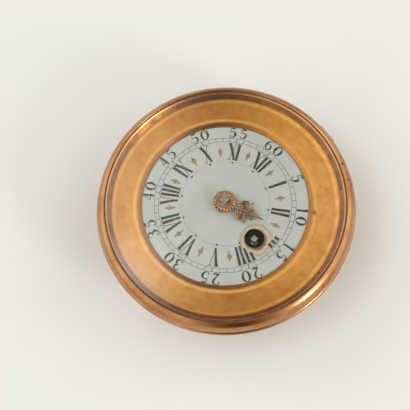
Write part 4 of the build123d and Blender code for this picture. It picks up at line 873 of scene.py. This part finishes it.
# Rosette of the hour hand
# A gilt boss pressed into twenty radial lobes, with a collar that hides the end of the hour pipe.
# One closed section goes round the axis; lobes, the size of a cosine, lift its top and scallop
# its edge.
rosette_gilt = aged_metal(
    "rosette_gilt", srgb(209, 168, 126), srgb(140, 102, 76), 0.24, 0.3, clouds=900.0
)
rosette_low, rosette_high = span("hand_rosette")
rosette_bottom = rosette_low[2]
rosette_top = rosette_high[2]
rosette_steps = 640
rosette_lobes = 20
rosette_radius = 2.65
rosette_hole = 1.27
scallop = 0.16
lobe_rise = 0.33
lobe_drop = 0.17
turn = full_turn(rosette_steps)[:, None]
lobe = np.abs(np.cos(rosette_lobes / 2 * turn))
inward = np.linspace(0, 1, 25)[None]
rosette_outer = rosette_radius - scallop * (1 - lobe)
top_radius = rosette_outer + (rosette_hole - rosette_outer) * inward
rise = rosette_top - rosette_bottom - 0.12
top_height = rosette_bottom + rise * np.sin(np.pi * (0.08 + 0.47 * inward)) - lobe_drop
top_height = top_height + lobe_rise * lobe * np.sin(np.pi * (0.1 + 0.85 * inward))
under_radius = np.broadcast_to([rosette_hole, pipe_radius, pipe_radius], (rosette_steps, 3))
under_height = [rosette_top - lobe_drop, rosette_top - lobe_drop, rosette_bottom]
under_height = np.broadcast_to(under_height, (rosette_steps, 3))
foot_height = np.full((rosette_steps, 1), rosette_bottom)
radius = np.hstack([rosette_outer, top_radius, under_radius])
height = np.hstack([foot_height, top_height, under_height])
points = np.stack([radius * np.cos(turn), radius * np.sin(turn), height], -1).reshape(-1, 3)
faces = grid_faces(rosette_steps, radius.shape[1], True, True)
add_piece("rosette", points, faces, "hour_work", "gilt_polished", rosette_gilt, "hand_rosette")

# Dial surround
# A gilt ring turned from sheet: a lip slopes up from the dial to a rounded ridge, and a satin band
# with fine turning marks runs out to a turned-up edge. The lip's slope is painted brown as shade.
# Ridge and edge are rubbed, and painted lighter as highlight lines. Smooth waves join the steps of
# its profile, which goes round the axis.
surround_low, surround_high = span("dial_surround")
surround_radius = surround_high[0]
surround_rim = surround_high[2]
surround_flat = surround_rim - 0.4
surround_under = surround_flat - 0.5
skirt_inside = surround_radius - 0.6
view_radius = dial_radius - 1.0
ridge_radius = view_radius + 1.3
edge_radius = surround_radius - 0.2

gilt_satin = aged_metal(
    "gilt_satin",
    srgb(248, 184, 94),
    srgb(230, 146, 56),
    0.5,
    0.2,
    clouds=420.0,
    pits=0.05,
    turned=1.0,
)
tree = gilt_satin.node_tree
shader = tree.nodes["Principled BSDF"]
place = object_place(tree)
level = vector(tree, "MULTIPLY", place, (1, 1, 0))
radius = measure(tree, "LENGTH", level)
# Painted shade: the lip's slope inside the ridge is coloured dark brown, and made a little
# smoother.
lip_painted_shade = ramp(tree, radius, (ridge_radius - 0.1) * millimetre, (ridge_radius - 0.5) * millimetre)
# Rings at the ridge and the outer edge: rubbed, so rougher and less stretched, and also painted
# lighter as highlights.
ridge_rub_highlight = ring_mask(tree, radius, ridge_radius + 0.25, 0.5)
edge_rub_highlight = ring_mask(tree, radius, edge_radius - 0.45, 0.4, most=0.35)
rub_and_highlight = calculate(tree, "ADD", edge_rub_highlight, ridge_rub_highlight)
colour = shader.inputs["Base Color"].links[0].from_socket
colour = mix_colour(tree, lip_painted_shade, colour, srgb(176, 112, 52))
# Painted highlight: the rings' colour is lifted toward pale gold.
painted_highlight = calculate(tree, "MULTIPLY", rub_and_highlight, 0.6)
colour = mix_colour(tree, painted_highlight, colour, srgb(250, 204, 128))
spot_radius = 20.1
spot_turn = np.radians(57)
spot_place = spot_radius * millimetre * np.array([np.sin(spot_turn), np.cos(spot_turn), 0])
distance = measure(tree, "LENGTH", vector(tree, "SUBTRACT", level, spot_place))
ragged = noise(tree, place, 1500.0, 3.0)
distance = calculate(tree, "MULTIPLY_ADD", ragged, 1.2 * millimetre, distance)
spotted = ramp(tree, distance, 1.6 * millimetre, 0.7 * millimetre)
colour = mix_colour(tree, spotted, colour, srgb(140, 92, 50))
rough = shader.inputs["Roughness"].links[0].from_socket
rough = calculate(tree, "MULTIPLY_ADD", lip_painted_shade, -0.2, rough)
rough = calculate(tree, "MULTIPLY_ADD", rub_and_highlight, 0.1, rough)
stretch = calculate(tree, "MULTIPLY_ADD", rub_and_highlight, -turned_stretch, turned_stretch)
feed(shader, {"Base Color": colour, "Roughness": rough, "Anisotropic": stretch})


def wave(start, end, steps=13):
    """Points of a smooth S-shaped rise from one point to another: half a cosine wave."""
    share = np.linspace(0, 1, steps)[:, None]
    ease = np.hstack([share, (1 - np.cos(np.pi * share)) / 2])
    return np.array(start) + (np.array(end) - np.array(start)) * ease


ridge = (ridge_radius, surround_flat + 0.1)
surround_profile = np.vstack(
    [
        [(view_radius, surround_under), (view_radius, surround_under + 0.1)],
        wave((view_radius + 0.02, surround_under + 0.12), ridge),
        wave(ridge, (ridge_radius + 0.8, surround_flat))[1:],
        wave((edge_radius - 1.2, surround_flat), (edge_radius, surround_rim - 0.05)),
        [
            (surround_radius, surround_rim - 0.05),
            (surround_radius, surround_low[2]),
            (skirt_inside, surround_low[2]),
            (skirt_inside, surround_under),
        ],
    ]
)
surround = lathe(surround_profile)
surround = add_piece("surround", *surround, "case", "gilt_satin", gilt_satin, "dial_surround")
map_turns(surround)

# Bezel
# The hinged gilt ring that holds the glass: a full round rim polished by handling, and under the
# glass a bevel toward the dial, painted dark brown as shade, with a painted highlight line next to
# the glass. Both profiles go round the axis; the rim is cut back at the case's knuckles.
# Painted shade: the bevel is coloured dark brown.
bevel_shaded_gilt = aged_metal("bevel_shaded_gilt", srgb(150, 92, 48), srgb(104, 58, 26), 0.3, 0.3, clouds=300.0)
bezel_high = span("bezel")[1]
bezel_outer = bezel_high[0]
bezel_crest = bezel_high[2]
bezel_bottom = parting + 0.05
glass_low, glass_high = span("crystal")
glass_radius = glass_high[0]
glass_seat = glass_low[2]
seat_inner = glass_radius - 0.29
seat_outer = glass_radius + 0.01
crest_radius = seat_outer + 0.22
bezel_toe = surround_rim + 0.15
rim_fullness = 1.66
rim_chamfer = 0.08
share = np.linspace(0.06, 1, 25)[:, None]
crest = np.array([crest_radius, bezel_crest])
shoulder = np.array([bezel_outer, bezel_bottom + 0.4])
bulge = np.array([crest[1] - shoulder[1], shoulder[0] - crest[0]])
bulge = rim_fullness * bulge / np.linalg.norm(bulge)
seat_middle = (seat_inner + seat_outer) / 2
rim_profile = np.vstack(
    [
        [
            (bezel_outer, bezel_bottom + rim_chamfer),
            (bezel_outer - rim_chamfer, bezel_bottom),
            (seat_middle, bezel_bottom),
            (seat_middle, glass_seat),
            (seat_outer, glass_seat),
            (seat_outer, bezel_crest - 0.15),
            (crest_radius - 0.1, bezel_crest - 0.03),
            (crest_radius, bezel_crest),
        ],
        crest * (1 - share) + shoulder * share + bulge * share * (1 - share),
    ]
)
points, faces = lathe(rim_profile)
points = clear_hinge(points, knuckle_length / 2, 1.5 * knuckle_length + 2 * knuckle_gap)
add_piece("bezel_rim", points, faces, "bezel_lid", "gilt_polished", gilt_polished, "bezel")
bevel_outer = surround_radius + 0.45
bevel_profile = np.array(
    [
        (seat_middle, bezel_bottom),
        (bevel_outer, bezel_bottom),
        (bevel_outer, bezel_toe),
        (seat_inner - 1.25, bezel_toe),
        (seat_inner, glass_seat),
        (seat_middle, glass_seat),
    ]
)
tree = bevel_shaded_gilt.node_tree
shader = tree.nodes["Principled BSDF"]
radius = measure(tree, "LENGTH", vector(tree, "MULTIPLY", object_place(tree), (1, 1, 0)))
# Painted highlight: a pale ring on the bevel next to the glass.
bevel_painted_highlight = ring_mask(tree, radius, seat_inner - 0.15, 0.25, 0.1)
colour = shader.inputs["Base Color"].links[0].from_socket
feed(shader, {"Base Color": mix_colour(tree, bevel_painted_highlight, colour, srgb(206, 150, 98))})
bevel = lathe(bevel_profile)
bevel = add_piece("bezel_bevel", *bevel, "bezel_lid", "gilt_polished", bevel_shaded_gilt, "bezel")
soften(bevel, 0.06)
bezel_knuckle = knuckle(-knuckle_length / 2)
add_piece("bezel_knuckle", *bezel_knuckle, "bezel_lid", "gilt_polished", gilt_polished)

# Glass
# A domed watch glass ground to sit in the bezel, clear but for faint smears. Two caps of a sphere
# joined at the edge; rays of light pass straight, so that the dial is lit through it.
glass, tree, shader = new_material("glass")
feed(shader, {"Base Color": (0.97, 0.99, 0.98, 1), "Transmission Weight": 1.0, "IOR": 1.48})
smear = ramp(tree, noise(tree, object_place(tree), 90.0, 4.0), 0.45, 0.8, 0.06)
feed(shader, {"Roughness": smear})
clear = wire(tree, "ShaderNodeBsdfTransparent", {"Color": (0.96, 0.98, 0.97, 1)})
ray = wire(tree, "ShaderNodeLightPath", {}).outputs
lighting = calculate(tree, "SUBTRACT", ray["Is Glossy Ray"], ray["Is Transmission Ray"])
lighting = calculate(tree, "MAXIMUM", ray["Is Diffuse Ray"], lighting)
lighting = calculate(tree, "MAXIMUM", ray["Is Shadow Ray"], lighting)
ends = {0: lighting, 1: shader.outputs[0], 2: clear.outputs[0]}
through = wire(tree, "ShaderNodeMixShader", ends)
feed(tree.nodes["Material Output"], {"Surface": through.outputs[0]})


def cap(edge_radius, edge_height, top_height):
    """Points of a sphere's cap from the axis out to its edge."""
    rise = top_height - edge_height
    sphere = (edge_radius**2 + rise**2) / (2 * rise)
    radius = np.linspace(0, edge_radius, 49)
    return np.column_stack([radius, top_height - sphere + np.sqrt(sphere**2 - radius**2)])


glass_top = glass_high[2]
glass_thick = 1.0
glass_edge = 0.35
inner_cap = cap(seat_inner, glass_seat, glass_top - glass_thick)
outer_cap = cap(glass_radius, glass_seat + glass_edge, glass_top)
glass_profile = np.vstack([inner_cap, [(glass_radius, glass_seat)], outer_cap[::-1]])
add_piece("watch_glass", *lathe(glass_profile), "bezel_lid", "glass", glass, "crystal")

# Dark line at the glass's edge
# A thin dark line all round where the glass meets the bezel. A shallow ring that follows the edge
# of the glass.
glass_seam = aged_metal("groove_glass_seam", srgb(104, 68, 40), srgb(62, 38, 22), 0.7, 0.2, clouds=600.0)
feed(glass_seam.node_tree.nodes["Principled BSDF"], {"Metallic": 0.0})
glass_seam_width = 0.36
glass_seam_inner = glass_radius - glass_seam_width
glass_seam_rise = 0.2 * glass_seam_width
glass_seam_bottom = glass_seat + 0.36
glass_seam_top = glass_seat + 0.39
glass_seam_profile = np.array(
    [
        (glass_seam_inner, glass_seam_bottom + glass_seam_rise),
        (glass_radius, glass_seam_bottom),
        (glass_radius, glass_seam_top),
        (glass_seam_inner, glass_seam_top + glass_seam_rise),
    ]
)
add_piece("glass_seam_line", *lathe(glass_seam_profile), "bezel_lid", "gilt_polished", glass_seam)

# Floor and light
# A pale matt floor, open under the clock's back, and a soft studio sky that is brighter to the
# left and right, with a small window lamp for the bright spot on the rim. A pale backdrop stands
# along the horizon.
floor_material, tree, shader = new_material("floor")
mottle = noise(tree, object_place(tree), 30.0, 6.0)
pale = mix_colour(tree, mottle, srgb(242, 242, 239), srgb(234, 234, 230))
feed(shader, {"Base Color": pale, "Roughness": 0.9})
floor_mesh = bpy.data.meshes.new("floor")
floor_steps = 96
floor_radii = np.array([drum_outer - 1.0, 100.0, 3000.0])[None]
floor_turn = full_turn(floor_steps)[:, None]
floor_height = np.full((floor_steps, 3), -0.01)
floor_points = [floor_radii * np.cos(floor_turn), floor_radii * np.sin(floor_turn), floor_height]
floor_points = np.stack(floor_points, -1).reshape(-1, 3) * millimetre
floor_faces = grid_faces(floor_steps, 3, True)[:, ::-1]
floor_mesh.from_pydata(floor_points.tolist(), [], floor_faces.tolist())
floor_mesh.materials.append(floor_material)
floor = add_object("floor", floor_mesh)

# Directions right, up and back out of the camera's picture, which the lamps are placed by
azimuth = np.radians(50.5)
elevation = np.radians(71.15)
roll = np.radians(-10.2)
away = np.cos(elevation)
back = np.array([np.sin(azimuth) * away, -np.cos(azimuth) * away, np.sin(elevation)])
level = np.array([np.cos(azimuth), np.sin(azimuth), 0])
upward = np.cross(back, level)
right = np.cos(roll) * level + np.sin(roll) * upward
up = np.cos(roll) * upward - np.sin(roll) * level
subject = np.array([0, 0, dial_edge_top + 0.25])


def aim(added, across, up, back, place):
    """Puts a lamp or camera at a place in metres and turns its three axes to directions."""
    columns = np.column_stack([across, up, back, place])
    added.matrix_world = np.vstack([columns, [0, 0, 0, 1]]).T.tolist()


flat_right = np.array([right[0], right[1], 0]) / np.hypot(right[0], right[1])
flat_up = np.array([up[0], up[1], 0]) / np.hypot(up[0], up[1])
lamp_place = 0.42 * flat_right - 0.32 * flat_up + np.array([0, 0, 0.24])
lamp_back = lamp_place - subject * millimetre
lamp_back = lamp_back / np.linalg.norm(lamp_back)
lamp_across = np.cross(np.array([0, 0, 1]), lamp_back)
lamp_across = lamp_across / np.linalg.norm(lamp_across)
lamp_up = np.cross(lamp_back, lamp_across)
light = bpy.data.lights.new("window_lamp", "AREA")
light.size = 0.12
light.energy = 0.055
light.spread = np.radians(50)
aim(add_object("window_lamp", light), lamp_across, lamp_up, lamp_back, lamp_place)

world = bpy.data.worlds.new("studio")
world.use_nodes = True
tree = world.node_tree
toward = wire(tree, "ShaderNodeTexCoord", {}).outputs["Generated"]
across = measure(tree, "DOT_PRODUCT", toward, flat_right)
across = calculate(tree, "ABSOLUTE", calculate(tree, "SUBTRACT", across, 0.1))
sides = ramp(tree, across, 0.0, 0.7, interpolation_type="SMOOTHSTEP")
nearer = ramp(tree, measure(tree, "DOT_PRODUCT", toward, -flat_up), 0.1, 0.9)
strength = calculate(tree, "MULTIPLY_ADD", sides, 1.2, 0.29)
strength = calculate(tree, "MULTIPLY_ADD", nearer, -0.25, strength)
sky = tree.nodes["Background"]
sky_colour = mix_colour(tree, sides, (1.0, 0.8, 0.58, 1), (0.94, 0.98, 1.0, 1))
feed(sky, {"Color": sky_colour, "Strength": strength})
backdrop = wire(tree, "ShaderNodeBackground", {"Color": srgb(240, 239, 234), "Strength": 1.0})
above = calculate(tree, "ABSOLUTE", measure(tree, "DOT_PRODUCT", toward, (0, 0, 1)))
horizon = ramp(tree, above, 0.045, 0.025)
ends = {0: horizon, 1: sky.outputs[0], 2: backdrop.outputs[0]}
mixed = wire(tree, "ShaderNodeMixShader", ends)
feed(tree.nodes["World Output"], {"Surface": mixed.outputs[0]})
bpy.context.scene.world = world

# Window card
# A soft bluish glow up to the left, mirrored as a faint veil at the lower left of the glass. A
# level card whose light fades out to its edge and is added to the sky behind it.
card_material, tree, shader = new_material("window_card")
tree.nodes.remove(shader)
chart = wire(tree, "ShaderNodeTexCoord", {}).outputs["UV"]
distance = measure(tree, "LENGTH", vector(tree, "SUBTRACT", chart, (0.5, 0.5, 0)))
glow = ramp(tree, distance, 0.5, 0.05, 3.0, interpolation_type="SMOOTHSTEP")
values = {"Color": (0.8, 0.92, 1.0, 1), "Strength": glow}
lit = wire(tree, "ShaderNodeEmission", values).outputs[0]
behind = wire(tree, "ShaderNodeBsdfTransparent", {}).outputs[0]
lit = wire(tree, "ShaderNodeAddShader", {0: lit, 1: behind}).outputs[0]
feed(tree.nodes["Material Output"], {"Surface": lit})
card_middle = -0.33 * flat_right - 0.05 * flat_up + np.array([0, 0, 0.6])
card_half = 0.2
card_signs = np.array([(-1, -1), (-1, 1), (1, 1), (1, -1)])
card_corners = card_middle + card_half * (card_signs @ np.array([flat_right, flat_up]))
card_mesh = bpy.data.meshes.new("window_card")
card_mesh.from_pydata(card_corners.tolist(), [], [(0, 1, 2, 3)])
card_mesh.uv_layers.new(name="card").data.foreach_set("uv", [0, 0, 0, 1, 1, 1, 1, 0])
card_mesh.materials.append(card_material)
card = add_object("window_card", card_mesh)

# Camera
# It stands where the photograph was taken from: nearly above the dial, some 16 cm off and turned a
# little.
camera_data = bpy.data.cameras.new("camera")
camera_data.sensor_width = 36.0
camera_data.lens = 61.46
camera = add_object("camera", camera_data)
camera_distance = 160.3
camera_left = 4.534
camera_down = 0.32
stand = subject + camera_distance * back - camera_left * right - camera_down * up
aim(camera, right, up, back, stand * millimetre)
bpy.context.scene.camera = camera
bpy.context.scene.view_settings.view_transform = "Standard"
